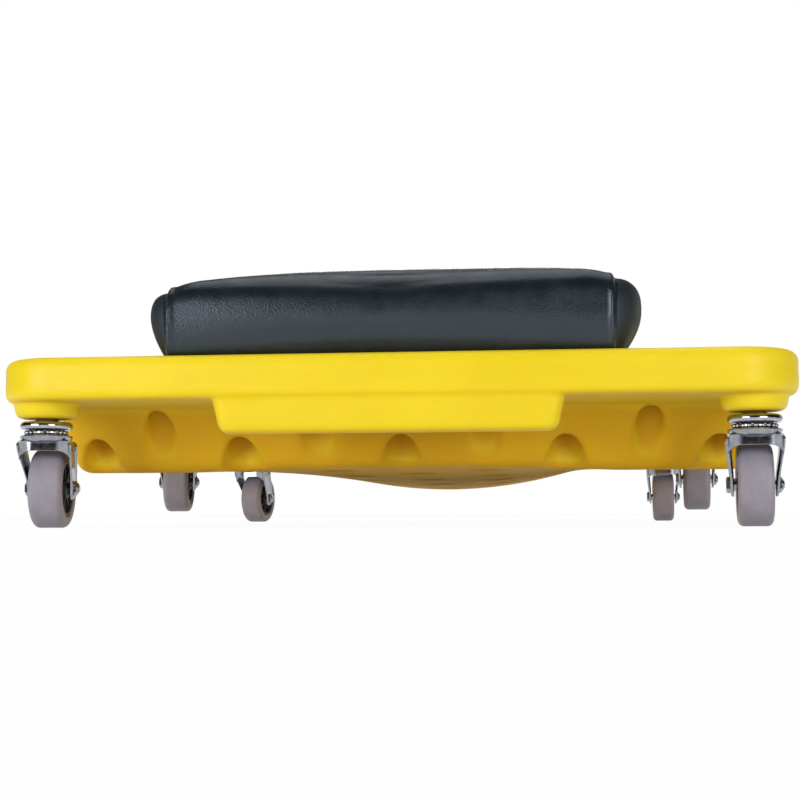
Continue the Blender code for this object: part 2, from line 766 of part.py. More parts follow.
def nut_mesh():
    seat = FORK_OUTER + GAP
    nut = rings_mesh("nut", [hexagon(seat), hexagon(seat + HEX_HEIGHT)])
    bore = turned("nut_bore", [(BOLT_RADIUS + GAP, 0), (BOLT_RADIUS + GAP, 2 * seat)], BUSH_SIDES)
    return across(settled_mesh("caster_axle_nut_shape", nut, [("DIFFERENCE", bore)]))


def empty(name, location, parent=None):
    made = bpy.data.objects.new(name, None)
    bpy.context.scene.collection.objects.link(made)
    made.location = location
    made.parent = parent
    return made


def make_casters(zinc, steel, dark_plastic, rubber):
    swivel_pieces = [
        ("ball_ring", ball_ring_mesh(), steel, 40),
        ("fork", fork_mesh(), zinc, 40),
    ]
    axle_pieces = [
        ("axle_bush", bush_mesh(), steel, 40),
        ("axle_bolt", bolt_mesh(), zinc, 30),
        ("axle_nut", nut_mesh(), zinc, 30),
    ]
    wheel_pieces = [
        ("hub", hub_mesh(), dark_plastic, 40),
        ("tread", tread_mesh(), rubber, 40),
    ]
    stem = stem_mesh()
    for row, y in ROWS.items():
        seat = MIDDLE_SEAT if row == "middle" else CORNER_SEAT
        for side, sign in SIDES.items():
            name = f"caster_{row}_{side}"
            at = (sign * STEM_X, y, seat)
            place(f"{name}_stem", stem, steel, at, smooth_deg=40)
            swivel = empty(f"{name}_swivel_axis", at)
            swivel.rotation_euler.z = -math.radians(REST_SWIVEL_DEG[f"{row}_{side}"])
            axle = empty(f"{name}_axle_axis", (0, TRAIL, -AXLE_DROP), swivel)
            for piece, mesh, finish, smooth_deg in swivel_pieces:
                place(f"{name}_{piece}", mesh, finish, parent=swivel, smooth_deg=smooth_deg)
            for piece, mesh, finish, smooth_deg in axle_pieces + wheel_pieces:
                place(f"{name}_{piece}", mesh, finish, parent=axle, smooth_deg=smooth_deg)


clear_scene()
yellow_plastic = material("yellow_plastic", (0.90, 0.67, 0.02), 0.35)
black_vinyl = material("black_vinyl", (0.035, 0.045, 0.055), 0.45)
plywood = material("plywood", (0.55, 0.38, 0.20), 0.7)
bright_zinc = material("bright_zinc", (0.72, 0.73, 0.75), 0.22, 1.0)
plain_steel = material("plain_steel", (0.50, 0.51, 0.53), 0.3, 1.0)
hub_plastic = material("hub_plastic", (0.05, 0.05, 0.055), 0.5)
grey_rubber = material("grey_rubber", (0.32, 0.28, 0.32), 0.6)
make_deck(yellow_plastic)
make_headrest(black_vinyl, plywood, bright_zinc)
make_casters(bright_zinc, plain_steel, hub_plastic, grey_rubber)
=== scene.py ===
"""Looks of the plastic mechanic creeper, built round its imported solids. Metres, +Z up, head end at -Y."""
import json
import math

import bmesh
import bpy
import numpy as np
from mathutils import Matrix, Vector


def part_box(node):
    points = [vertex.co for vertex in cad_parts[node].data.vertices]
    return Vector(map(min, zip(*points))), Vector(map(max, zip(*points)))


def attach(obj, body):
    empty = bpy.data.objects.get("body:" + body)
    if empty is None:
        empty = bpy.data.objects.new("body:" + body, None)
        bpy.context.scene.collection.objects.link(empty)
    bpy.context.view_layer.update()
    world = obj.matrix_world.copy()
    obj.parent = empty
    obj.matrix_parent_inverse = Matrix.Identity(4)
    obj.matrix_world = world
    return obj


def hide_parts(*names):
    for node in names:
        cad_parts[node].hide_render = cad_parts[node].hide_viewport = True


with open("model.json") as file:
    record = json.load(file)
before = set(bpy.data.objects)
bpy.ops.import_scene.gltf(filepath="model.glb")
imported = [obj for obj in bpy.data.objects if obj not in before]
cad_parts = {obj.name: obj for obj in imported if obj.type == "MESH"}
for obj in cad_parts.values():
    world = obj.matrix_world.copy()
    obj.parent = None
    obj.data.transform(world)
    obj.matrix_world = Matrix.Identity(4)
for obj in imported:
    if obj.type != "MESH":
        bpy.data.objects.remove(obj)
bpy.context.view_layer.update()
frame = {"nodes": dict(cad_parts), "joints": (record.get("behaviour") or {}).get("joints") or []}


# Deck body
# One blow-moulded shell of polyethylene: the rim, the deep underside, the grip lip and the caster
# bosses come out of one mould. Hollow cones weld its lower skin to its upper skin.
deck_low, deck_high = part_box("deck_body")
rim_top = deck_high.z
rim_height = 0.040
rim_bottom = rim_top - rim_height
rim_corner = 0.060
rim_edge = 0.009
rim_band_pitch = 0.0136
rim_band_swell = 0.0003
rim_band_phase = 0.8
pan_top = rim_bottom + 0.010
pan_half_width = deck_high.x - 0.020
pan_draft = 0.012
pan_end_inset = 0.108
pan_bow_depth = 0.010
pan_edge = 0.012
pan_fillet = 0.006
ramp_length = 0.045
head_depth = 0.063
foot_depth = 0.032
trough_head_depth = 0.0585
trough_depth = rim_bottom - deck_low.z
trough_half_width = 0.215
bed_half_width = 0.240
bed_draft = 0.018
bed_head = deck_low.y + 0.222
bed_foot = deck_high.y - 0.090
bed_ramp = 0.055
bed_edge_depth = 0.022
bed_depth = 0.052
bed_edge = 0.014
bed_brim = 0.012
tray_half_width = 0.029
tray_half_length = 0.085
tray_depth = 0.050
tray_draft = 0.004
tray_corner = 0.014
tray_brim = 0.006
tray_x = deck_high.x - 0.038 - tray_half_width
tray_y = deck_low.y + 0.212 + tray_half_length
lip_half_width = 0.163
lip_half_thickness = 0.015
lip_y = deck_low.y + 0.005 + lip_half_thickness
lip_bottom = rim_bottom - 0.032
lip_draft = 0.004
lip_end_draft = 0.009
lip_corner = 0.010
lip_fillet = 0.003
boss_radius = 0.028
boss_draft = 0.003
boss_edge = 0.007
boss_fillet = 0.003
pocket_radius = 0.080
pocket_brim = 0.006
joint_places = {joint["name"]: Vector(joint["pos_m"]) for joint in frame["joints"]}
corner_stems = [joint_places[f"caster_{row}_{side}_swivel_turn"]
                for row in ("head", "foot") for side in ("left", "right")]
middle_stems = [joint_places[f"caster_middle_{side}_swivel_turn"] for side in ("left", "right")]
cone_pitch = 0.163
cone_row_step = 0.080
cone_mouth = 0.0195
cone_tip = 0.0085
cone_web = 0.012
cone_margin = 0.024
cone_side_margin = 0.040
cone_ramp_inset = 0.1315
cone_ramp_step = 0.020
cone_round = 0.006
cone_mouth_round = 0.009
# How far above the ramp's face the cone tips begin and finish taking the painted shade.
cone_shade_from = 0.010
cone_shade_to = 0.026


def soft_max(a, b, radius):
    """The larger of two fields, with the edge between them rounded off."""
    near = np.maximum(radius - np.abs(a - b), 0) / radius
    return np.maximum(a, b) + near * near * radius / 4


def soft_min(a, b, radius):
    """The smaller of two fields, with a fillet between them."""
    return -soft_max(-a, -b, radius)


def blend(low, high, share):
    return low + (high - low) * share


def plan_distance(x, y, half_x, half_y, corner):
    """How far a point lies outside a rectangle with round corners."""
    over_x = np.abs(x) - half_x + corner
    over_y = np.abs(y) - half_y + corner
    outside = np.hypot(np.maximum(over_x, 0), np.maximum(over_y, 0))
    return outside + np.minimum(np.maximum(over_x, over_y), 0) - corner


def pan_bow(x):
    return pan_bow_depth * (x / pan_half_width) ** 2


def pan_span(x):
    """Where the level part of the underside starts and ends."""
    head = deck_low.y + pan_end_inset + ramp_length + pan_bow(x)
    foot = deck_high.y - pan_end_inset - ramp_length - pan_bow(x)
    return head, foot


def pan_floor(x, share):
    """Height of the underside, share 0 at the head ramp and 1 at the foot ramp."""
    flat = rim_bottom - blend(head_depth, foot_depth, share)
    keel = rim_bottom - blend(trough_head_depth, trough_depth, share)
    return blend(flat, keel, np.maximum(0, 1 - (x / trough_half_width) ** 2))


def bed_floor(x):
    share = np.minimum(1, np.abs(x) / (bed_half_width - bed_draft))
    return rim_top - blend(bed_depth, bed_edge_depth, share ** 2)


def sloped(distance, run, rise):
    """A distance measured along the level, turned into one square to a slope."""
    return distance * rise / np.hypot(run, rise)


def rim_field(x, y, z):
    """The rim, with two shallow moulded bands round its side."""
    down = (rim_top - z) / rim_band_pitch
    side = plan_distance(x, y, deck_high.x, deck_high.y, rim_corner)
    side = side + rim_band_swell * (1 - np.cos(2 * math.pi * (down - rim_band_phase))) / 2 + rim_edge
    level = np.abs(z - rim_top + rim_height / 2) - rim_height / 2 + rim_edge
    outside = np.hypot(np.maximum(side, 0), np.maximum(level, 0))
    return outside + np.minimum(np.maximum(side, level), 0) - rim_edge


def pan_field(x, y, z):
    """The deep underside: two drafted sides, a bowed ramp at each end and a floor with a trough."""
    head, foot = pan_span(x)
    share = np.clip((y - head) / (foot - head), 0, 1)
    drop = pan_top - pan_floor(x, share)
    field = sloped(np.abs(x) - pan_half_width + pan_draft * (pan_top - z) / drop, pan_draft, drop)
    head_drop = pan_top - pan_floor(x, 0)
    foot_drop = pan_top - pan_floor(x, 1)
    head_ramp = head - ramp_length + ramp_length * (pan_top - z) / head_drop - y
    foot_ramp = y - foot - ramp_length + ramp_length * (pan_top - z) / foot_drop
    field = soft_max(field, sloped(head_ramp, ramp_length, head_drop), pan_edge)
    field = soft_max(field, sloped(foot_ramp, ramp_length, foot_drop), pan_edge)
    field = soft_max(field, pan_top - drop - z, pan_edge)
    return np.maximum(field, z - pan_top)


def lip_field(x, y, z):
    """The grip lip: a drafted bar under the head end of the rim."""
    down = (pan_top - z) / (pan_top - lip_bottom)
    half_width = lip_half_width - lip_end_draft * down
    half_thickness = lip_half_thickness - lip_draft * down
    side = plan_distance(x, y - lip_y, half_width, half_thickness, lip_corner)
    return np.maximum(soft_max(side, lip_bottom - z, lip_corner), z - pan_top)


def bed_field(x, y, z):
    """The hollow that a back lies in."""
    depth = rim_top - bed_floor(x)
    down = rim_top - z
    field = sloped(np.abs(x) - bed_half_width + bed_draft * down / bed_edge_depth, bed_draft, bed_edge_depth)
    head_ramp = bed_head + bed_ramp * down / depth - y
    foot_ramp = y - bed_foot + bed_ramp * down / depth
    field = soft_max(field, sloped(head_ramp, bed_ramp, depth), bed_edge)
    field = soft_max(field, sloped(foot_ramp, bed_ramp, depth), bed_edge)
    return soft_max(field, bed_floor(x) - z, bed_edge)


def tray_field(x, y, z):
    taper = tray_draft * (rim_top - z) / tray_depth
    side = plan_distance(np.abs(x) - tray_x, y - tray_y, tray_half_width - taper, tray_half_length - taper,
                         tray_corner)
    return soft_max(side, rim_top - tray_depth - z, tray_corner)


def cone_places():
    """Centres of the cones: two rows on the head ramp, then rows half a pitch apart on the floor."""
    far = pan_half_width - cone_side_margin
    upper_row = [offset * cone_pitch for offset in (-1.5, -0.5, 0.5, 1.5)]
    lower_row = [-far, -cone_pitch, 0.0, cone_pitch, far]
    places = []
    for order, columns in enumerate((upper_row, lower_row)):
        row = deck_low.y + cone_ramp_inset + order * cone_ramp_step
        places += [(x, row + pan_bow(x)) for x in columns]
    first, last = pan_span(0)
    rows = int((last - first - cone_row_step - cone_margin) / cone_row_step) + 1
    for row in range(rows):
        y = first + (row + 1) * cone_row_step
        for offset in ((-1.5, -0.5, 0.5, 1.5) if row % 2 == 0 else (-1, 0, 1)):
            x = offset * cone_pitch
            head, foot = pan_span(x)
            if head + cone_margin < y < foot - cone_margin:
                places.append((x, y))
    return places


def cone_end(x, y):
    """Height of a cone's tip, one web below the top skin."""
    over_tray = abs(abs(x) - tray_x) < tray_half_width + cone_tip
    if over_tray and abs(y - tray_y) < tray_half_length + cone_tip:
        return rim_top - tray_depth - cone_web
    if abs(x) < bed_half_width + cone_tip and bed_head - cone_tip < y < bed_foot + cone_tip:
        return float(bed_floor(max(0.0, abs(x) - cone_tip))) - cone_web
    return rim_top - cone_web


def deck_field(x, y, z):
    """Below zero inside the moulding, rising about a metre per metre across its skin."""
    field = soft_min(rim_field(x, y, z), pan_field(x, y, z), pan_fillet)
    for stem in corner_stems:
        flare = boss_draft * (z - stem.z) / (rim_bottom - stem.z)
        boss = np.hypot(x - stem.x, y - stem.y) - boss_radius - flare
        boss = np.maximum(soft_max(boss, stem.z - z, boss_edge), z - pan_top)
        field = soft_min(field, boss, boss_fillet)
    field = soft_min(field, lip_field(x, y, z), lip_fillet)
    field = soft_max(field, -bed_field(x, y, z), bed_brim)
    field = soft_max(field, -tray_field(x, y, z), tray_brim)
    for stem in middle_stems:
        pocket = np.maximum(np.hypot(x - stem.x, y - stem.y) - pocket_radius, z - stem.z)
        field = soft_max(field, -pocket, pocket_brim)
    for cone_x, cone_y in cone_places():
        tip = cone_end(cone_x, cone_y)
        share = (z - deck_low.z) / (tip - deck_low.z)
        wall = np.hypot(x - cone_x, y - cone_y) - blend(cone_mouth, cone_tip, share)
        field = soft_max(field, -soft_max(wall, z - tip, cone_round), cone_mouth_round)
    return field


def skin(name, field, xs, ys, zs):
    """A quad mesh on the zero level of a field: one point in each cell of the grid that the level crosses."""
    values = field(xs[:, None, None], ys[None, :, None], zs[None, None, :])
    inside = values < 0
    count = np.zeros(tuple(n - 1 for n in values.shape), np.int8)
    corners = [(i, j, k) for i in (0, 1) for j in (0, 1) for k in (0, 1)]
    for i, j, k in corners:
        count += inside[i:i - 1 or None, j:j - 1 or None, k:k - 1 or None]
    cells = np.argwhere((count > 0) & (count < 8))
    index = np.full(count.shape, -1, np.int64)
    index[tuple(cells.T)] = np.arange(len(cells))
    total = np.zeros((len(cells), 3))
    crossings = np.zeros(len(cells))
    for axis in range(3):
        for start in corners:
            if start[axis]:
                continue
            low = cells + start
            high = low.copy()
            high[:, axis] += 1
            a = values[tuple(low.T)]
            b = values[tuple(high.T)]
            crossed = (a < 0) != (b < 0)
            share = np.where(crossed, a / np.where(crossed, a - b, 1), 0)
            at = np.stack([xs[low[:, 0]], ys[low[:, 1]], zs[low[:, 2]]], axis=1)
            step = (xs, ys, zs)[axis]
            at[:, axis] += share * (step[high[:, axis]] - step[low[:, axis]])
            total += at * crossed[:, None]
            crossings += crossed
    points = total / crossings[:, None]
    nudge = 0.0004
    least_slope = 0.1
    longest_pull = 0.0012
    for _ in range(3):
        here = field(*points.T)
        ahead = np.stack([field(*(points + nudge * way).T) for way in np.eye(3)], axis=1)
        slope = (ahead - here[:, None]) / nudge
        shift = -here / np.maximum((slope ** 2).sum(axis=1), least_slope)
        points = points + np.clip(shift[:, None] * slope, -longest_pull, longest_pull)
    faces = []
    for axis in range(3):
        u, v = (axis + 1) % 3, (axis + 2) % 3
        first = np.moveaxis(inside, (axis, u, v), (0, 1, 2))
        grid = np.moveaxis(index, (axis, u, v), (0, 1, 2))
        change = first[:-1, 1:-1, 1:-1] != first[1:, 1:-1, 1:-1]
        at = np.argwhere(change)
        a, b, c = at[:, 0], at[:, 1] + 1, at[:, 2] + 1
        quads = np.stack([grid[a, b - 1, c - 1], grid[a, b, c - 1], grid[a, b, c], grid[a, b - 1, c]], axis=1)
        outward = first[a, b, c]
        quads[~outward] = quads[~outward][:, ::-1]
        faces.append(quads)
    mesh = bpy.data.meshes.new(name)
    mesh.from_pydata(points, [], np.concatenate(faces))
    mesh.shade_smooth()
    return mesh


def put(name, mesh, finish, matrix=Matrix.Identity(4)):
    """Place a mesh with its finish as a piece of the object."""
    piece = bpy.data.objects.new(name, mesh)
    bpy.context.scene.collection.objects.link(piece)
    piece.matrix_world = matrix
    if not mesh.materials:
        mesh.materials.append(finish)
    return piece


def new_finish(name):
    """A material with its node tree and its one shader."""
    finish = bpy.data.materials.new(name)
    finish.use_nodes = True
    return finish, finish.node_tree, finish.node_tree.nodes["Principled BSDF"]


def add_node(tree, kind, inputs=None, **settings):
    """A shader node whose inputs are values or other nodes' outputs."""
    made = tree.nodes.new(kind)
    for name, value in settings.items():
        setattr(made, name, value)
    for key, value in (inputs or {}).items():
        if isinstance(value, bpy.types.NodeSocket):
            tree.links.new(value, made.inputs[key])
        else:
            made.inputs[key].default_value = value
    return made


def noise(tree, where, scale, detail=2.0, rough=0.5):
    inputs = {"Vector": where, "Scale": scale, "Detail": detail, "Roughness": rough}
    return add_node(tree, "ShaderNodeTexNoise", inputs).outputs["Fac"]


def remap(tree, value, low, high, to_low, to_high):
    inputs = {"Value": value, "From Min": low, "From Max": high, "To Min": to_low, "To Max": to_high}
    return add_node(tree, "ShaderNodeMapRange", inputs).outputs["Result"]


def mix_colour(tree, share, first, second, how="MIX"):
    inputs = {0: share, 6: first, 7: second}
    return add_node(tree, "ShaderNodeMix", inputs, data_type="RGBA", blend_type=how).outputs[2]


def sums(tree, how, first, second):
    return add_node(tree, "ShaderNodeMath", {0: first, 1: second}, operation=how).outputs[0]


def bump(tree, height, distance, strength, under=None):
    inputs = {"Height": height, "Distance": distance, "Strength": strength}
    if under:
        inputs["Normal"] = under
    return add_node(tree, "ShaderNodeBump", inputs).outputs["Normal"]


def yellow_plastic():
    """Satin moulded polyethylene: fine grain, slow waves from the mould, rubbed edges, and painted shade: a
    darker, warmer tone on the underside and in the tips of the cones.
    """
    finish, tree, shader = new_finish("yellow_plastic")
    where = add_node(tree, "ShaderNodeTexCoord").outputs["Object"]
    geometry = add_node(tree, "ShaderNodeNewGeometry").outputs
    edge = geometry["Pointiness"]
    cloud = noise(tree, where, 9.0, 4.0)
    streak_place = add_node(tree, "ShaderNodeMapping", {"Vector": where, "Scale": (6.0, 6.0, 160.0)})
    streak = noise(tree, streak_place.outputs["Vector"], 1.0, 3.0)
    colour = mix_colour(tree, remap(tree, cloud, 0.3, 0.7, 0.0, 1.0),
                        (0.855, 0.635, 0.006, 1), (0.905, 0.685, 0.010, 1))
    colour = mix_colour(tree, remap(tree, streak, 0.55, 0.75, 0.0, 0.10), colour, (0.98, 0.80, 0.12, 1))
    rubbed = sums(tree, "MULTIPLY", remap(tree, edge, 0.515, 0.56, 0.0, 0.25), noise(tree, where, 60.0, 5.0))
    colour = mix_colour(tree, rubbed, colour, (0.94, 0.76, 0.10, 1))
    place = add_node(tree, "ShaderNodeSeparateXYZ", {"Vector": where}).outputs
    facing = add_node(tree, "ShaderNodeSeparateXYZ", {"Vector": geometry["Normal"]}).outputs["Z"]
    along = add_node(tree, "ShaderNodeMath", {0: place["Y"]}, operation="ABSOLUTE").outputs[0]
    pan_end = deck_high.y - pan_end_inset
    # Painted shade on the underside: a darker, warmer tone between the ramps, below the rim and on faces
    # turned down.
    under = sums(tree, "MULTIPLY", remap(tree, along, pan_end + 0.012, pan_end - 0.004, 0.0, 0.85),
                 remap(tree, place["Z"], rim_bottom + 0.002, rim_bottom - 0.008, 0.0, 1.0))
    under = sums(tree, "MULTIPLY", under, remap(tree, facing, -0.10, -0.40, 0.0, 1.0))
    under = sums(tree, "MAXIMUM", under, remap(tree, facing, -0.60, -0.90, 0.0, 0.4))
    # Painted shade in the tips of the cones in the ramps, deeper than the ramp's own face.
    ramp_height = remap(tree, along, pan_end, pan_end - ramp_length, pan_top, rim_bottom - head_depth)
    depth = sums(tree, "SUBTRACT", place["Z"], ramp_height)
    deep = sums(tree, "MULTIPLY", remap(tree, depth, cone_shade_from, cone_shade_to, 0.0, 0.9),
                remap(tree, place["Z"], rim_bottom + 0.020, rim_bottom + 0.004, 0.0, 1.0))
    deep = sums(tree, "MULTIPLY", deep, remap(tree, along, pan_end, pan_end - 0.010, 0.0, 1.0))
    inner = sums(tree, "LESS_THAN", facing, 0.5)
    under = sums(tree, "MAXIMUM", under, sums(tree, "MULTIPLY", deep, inner))
    # The painted shade's colour: a darker, warmer yellow.
    colour = mix_colour(tree, under, colour, (0.83, 0.475, 0.012, 1))
    tree.links.new(colour, shader.inputs["Base Color"])
    rough = sums(tree, "ADD", remap(tree, noise(tree, where, 40.0, 4.0), 0.3, 0.7, 0.34, 0.46),
                 remap(tree, under, 0.0, 1.0, 0.0, 0.34))
    tree.links.new(rough, shader.inputs["Roughness"])
    waves = bump(tree, noise(tree, where, 28.0, 2.0), 0.0012, 0.25)
    grain = bump(tree, noise(tree, where, 900.0, 2.0), 0.00025, 0.35, waves)
    tree.links.new(grain, shader.inputs["Normal"])
    shader.inputs["Specular IOR Level"].default_value = 0.30
    shader.inputs["Subsurface Weight"].default_value = 0.35
    shader.inputs["Subsurface Radius"].default_value = (1.0, 0.55, 0.05)
    shader.inputs["Subsurface Scale"].default_value = 0.02
    return finish


deck_step = 0.0032
fine_step = 0.0026
spare = 0.008
fine_end = deck_low.y + 0.25
deck_xs = np.arange(deck_low.x - spare, deck_high.x + spare, deck_step)
deck_ys = np.concatenate([np.arange(deck_low.y - spare, fine_end, fine_step),
                          np.arange(fine_end, deck_high.y + spare, deck_step)])
deck_zs = np.arange(deck_low.z - spare, rim_top + spare, fine_step)
deck = put("deck_moulding", skin("deck_moulding", deck_field, deck_xs, deck_ys, deck_zs), yellow_plastic())
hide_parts("deck_body")
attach(deck, "deck")


# Caster stems
# A turned steel stem pressed into its boss, with the upper ball race pressed on under the deck and a
# kingpin riveted over below the fork. It stays still while the fork turns.
casters = [f"caster_{row}_{side}" for row in ("head", "middle", "foot") for side in ("left", "right")]
turn_sides = 48
seat_gap = 0.0003
race_radius = 0.0245
race_top = -0.0028
race_bottom = -0.0105
race_upper_edge = 0.0036
race_lower_edge = 0.0034
race_flat_inset = 0.0032
upper_groove = 0.0038
upper_groove_drop = 0.0030
ball_radius = 0.0024
ball_circle = 0.0185
ball_centre = -0.0133
crown_top = -0.0161
crown_bottom = -0.0226
kingpin_radius = 0.006
rivet_flat = 0.0055
rivet_height = 0.0035
rivet_top = crown_bottom - seat_gap
neck_radius = 0.0112
neck_draft = 0.0002
neck_fillet = 0.0028
neck_fillet_rise = 0.0006
neck_chamfer = 0.0007
stem_radius = 0.0055
stem_length = 0.030
stem_tip = 0.0015
stem_tip_inset = 0.001


def swivel_frame(caster):
    """Stands on a caster's seat, with +Y the way that its wheel trails."""
    seat = joint_places[f"{caster}_swivel_turn"]
    trail = joint_places[f"{caster}_wheel_spin"] - seat
    return Matrix.Translation(seat) @ Matrix.Rotation(math.atan2(-trail.x, trail.y), 4, "Z")


def axle_frame(caster):
    """The same directions, from the middle of the wheel."""
    return Matrix.Translation(joint_places[f"{caster}_wheel_spin"]) @ swivel_frame(caster).to_3x3().to_4x4()


def arc(centre_r, centre_z, radius, start_deg, end_deg, steps):
    """Points of a profile along an arc, with 0 degrees pointing away from the axis."""
    turns = [math.radians(blend(start_deg, end_deg, step / steps)) for step in range(steps + 1)]
    return [(centre_r + radius * math.cos(a), centre_z + radius * math.sin(a)) for a in turns]


def turned(name, profile, sides=turn_sides, closed=False, sharp_deg=32):
    """A profile of (radius, height) points, upwards on its outer side, turned about the Z axis."""
    bm = bmesh.new()
    rings = []
    for radius, height in profile:
        if radius == 0:
            rings.append([bm.verts.new((0, 0, height))] * sides)
            continue
        turns = [2 * math.pi * side / sides for side in range(sides)]
        rings.append([bm.verts.new((radius * math.cos(a), radius * math.sin(a), height)) for a in turns])
    for lower, upper in zip(rings, rings[1:] + (rings[:1] if closed else [])):
        for side in range(sides):
            after = (side + 1) % sides
            bm.faces.new(dict.fromkeys((lower[side], lower[after], upper[after], upper[side])))
    return finished_mesh(name, bm, sharp_deg)


def finished_mesh(name, bm, sharp_deg=32):
    mesh = bpy.data.meshes.new(name)
    bm.to_mesh(mesh)
    bm.free()
    mesh.shade_smooth()
    mesh.set_sharp_from_angle(angle=math.radians(sharp_deg))
    return mesh


def along_axle(mesh):
    """Lay a turned mesh along the axle."""
    mesh.transform(Matrix.Rotation(math.pi / 2, 4, "Y"))
    return mesh


def fit_casters(piece, node, mesh, finish, body, place):
    """One piece on each caster, in the place of its CAD node."""
    for caster in casters:
        made = put(f"{caster}_{piece}", mesh, finish, place(caster))
        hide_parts(f"{caster}_{node}")
        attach(made, body(caster))


def metal_finish(name, colour, dull, low_rough, high_rough, scratch_depth):
    """Plated or plain steel: cloudy plating, fine scratches and darker hollow corners."""
    finish, tree, shader = new_finish(name)
    where = add_node(tree, "ShaderNodeTexCoord").outputs["Object"]
    edge = add_node(tree, "ShaderNodeNewGeometry").outputs["Pointiness"]
    cloud = noise(tree, where, 160.0, 4.0)
    tint = mix_colour(tree, remap(tree, cloud, 0.35, 0.7, 0.0, 1.0), colour, dull)
    # Hollow corners are made darker.
    corner_dark = sums(tree, "MULTIPLY", remap(tree, edge, 0.485, 0.42, 0.0, 0.8), noise(tree, where, 420.0, 4.0))
    tint = mix_colour(tree, corner_dark, tint, (0.05, 0.045, 0.04, 1))
    tree.links.new(tint, shader.inputs["Base Color"])
    rough = remap(tree, noise(tree, where, 260.0, 5.0), 0.3, 0.7, low_rough, high_rough)
    tree.links.new(rough, shader.inputs["Roughness"])
    scratch_place = add_node(tree, "ShaderNodeMapping", {"Vector": where, "Scale": (220.0, 220.0, 2600.0)})
    scratches = noise(tree, scratch_place.outputs["Vector"], 1.0, 3.0)
    tree.links.new(bump(tree, scratches, scratch_depth, 0.3), shader.inputs["Normal"])
    shader.inputs["Metallic"].default_value = 1.0
    return finish


plain_steel = metal_finish("plain_steel", (0.48, 0.49, 0.52, 1), (0.36, 0.37, 0.40, 1), 0.10, 0.20, 0.00004)
stem_profile = [(0, rivet_top - rivet_height)]
stem_profile += arc(rivet_flat, rivet_top, rivet_height, -90, 0, 6)
stem_profile += [(kingpin_radius, rivet_top), (kingpin_radius, race_bottom)]
stem_profile += arc(ball_circle, race_bottom - upper_groove_drop, upper_groove, 128, 52, 6)
stem_profile += [(race_radius - race_flat_inset, race_bottom)]
stem_profile += arc(race_radius - race_lower_edge, race_bottom + race_lower_edge, race_lower_edge, -90, 0, 7)
stem_profile += arc(race_radius - race_upper_edge, race_top - race_upper_edge, race_upper_edge, 0, 80, 7)
stem_profile += [(neck_radius + neck_fillet, race_top), (neck_radius, race_top + neck_fillet_rise)]
stem_profile += [(neck_radius - neck_draft, -seat_gap - neck_chamfer)]
stem_profile += [(neck_radius - neck_draft - neck_chamfer, -seat_gap), (stem_radius, -seat_gap)]
stem_profile += [(stem_radius, stem_length - stem_tip), (stem_radius - stem_tip_inset, stem_length)]
stem_profile += [(0, stem_length)]
fit_casters("race", "stem", turned("caster_race", stem_profile), plain_steel,
            lambda caster: "deck", swivel_frame)


# Caster ball rings
# Twenty hardened steel balls in a thin pressed cage, between the upper race and the race in the fork.
# They carry the load while the fork turns.
ball_count = 20
cage_inner = 0.0150
cage_outer = 0.0198
cage_half = 0.0006
bm = bmesh.new()
for ball in range(ball_count):
    turn = Matrix.Rotation(2 * math.pi * ball / ball_count, 4, "Z")
    at = turn @ Matrix.Translation((ball_circle, 0, ball_centre))
    bmesh.ops.create_uvsphere(bm, u_segments=16, v_segments=10, radius=ball_radius, matrix=at)
balls = finished_mesh("caster_balls", bm, 180)
cage_profile = [(cage_inner, ball_centre - cage_half), (cage_outer, ball_centre - cage_half),
                (cage_outer, ball_centre + cage_half), (cage_inner, ball_centre + cage_half)]
bm = bmesh.new()
bm.from_mesh(balls)
bm.from_mesh(turned("caster_cage", cage_profile, closed=True))
fit_casters("balls", "ball_ring", finished_mesh("caster_ball_ring_shape", bm), plain_steel,
            lambda caster: f"{caster}_swivel", swivel_frame)


# Caster forks
# A zinc plated pressing: a dish that holds the lower ball race, an apron arched over the wheel, and two legs
# bent down from its sides that lean back to the axle. Their edges are rolled outwards to make them stiff.
trail = 0.028
axle_drop = 0.0654
fork_plate = 0.0024
fork_edge = 0.0005
leg_x = 0.0198
leg_top = crown_top - 0.0045
leg_front = -0.0125
leg_back = 0.0185
leg_steps = 14
leg_columns = (0.0, 0.05, 0.13, 0.3, 0.5, 0.7, 0.87, 0.95, 1.0)
tab_x = 0.0130
shoulder_x = 0.0226
shoulder_bend = 0.0045
shoulder_steps = 5
eye_radius = 0.0105
eye_sweep = 0.94 * math.pi / 2
eye_steps = 6
flange = 0.0024
flange_from = 0.74
flange_at_eye = 0.45
dish_bore = kingpin_radius + 0.0006
dish_base = 0.0105
dish_depth = 0.0072
dish_top = crown_top - 0.0008
dish_lip = 0.0006
lower_groove = 0.0032
lower_groove_rise = 0.0028
lower_groove_brim = 0.0226
apron_half_width = 0.0242
apron_bow = 0.0015
apron_steps = 24
apron_bottom = -0.0305
apron_arch = 0.0080
apron_lean = 0.0087
apron_corner_power = 6
bright_zinc = metal_finish("bright_zinc", (0.35, 0.36, 0.395, 1), (0.25, 0.26, 0.29, 1), 0.07, 0.16, 0.00003)


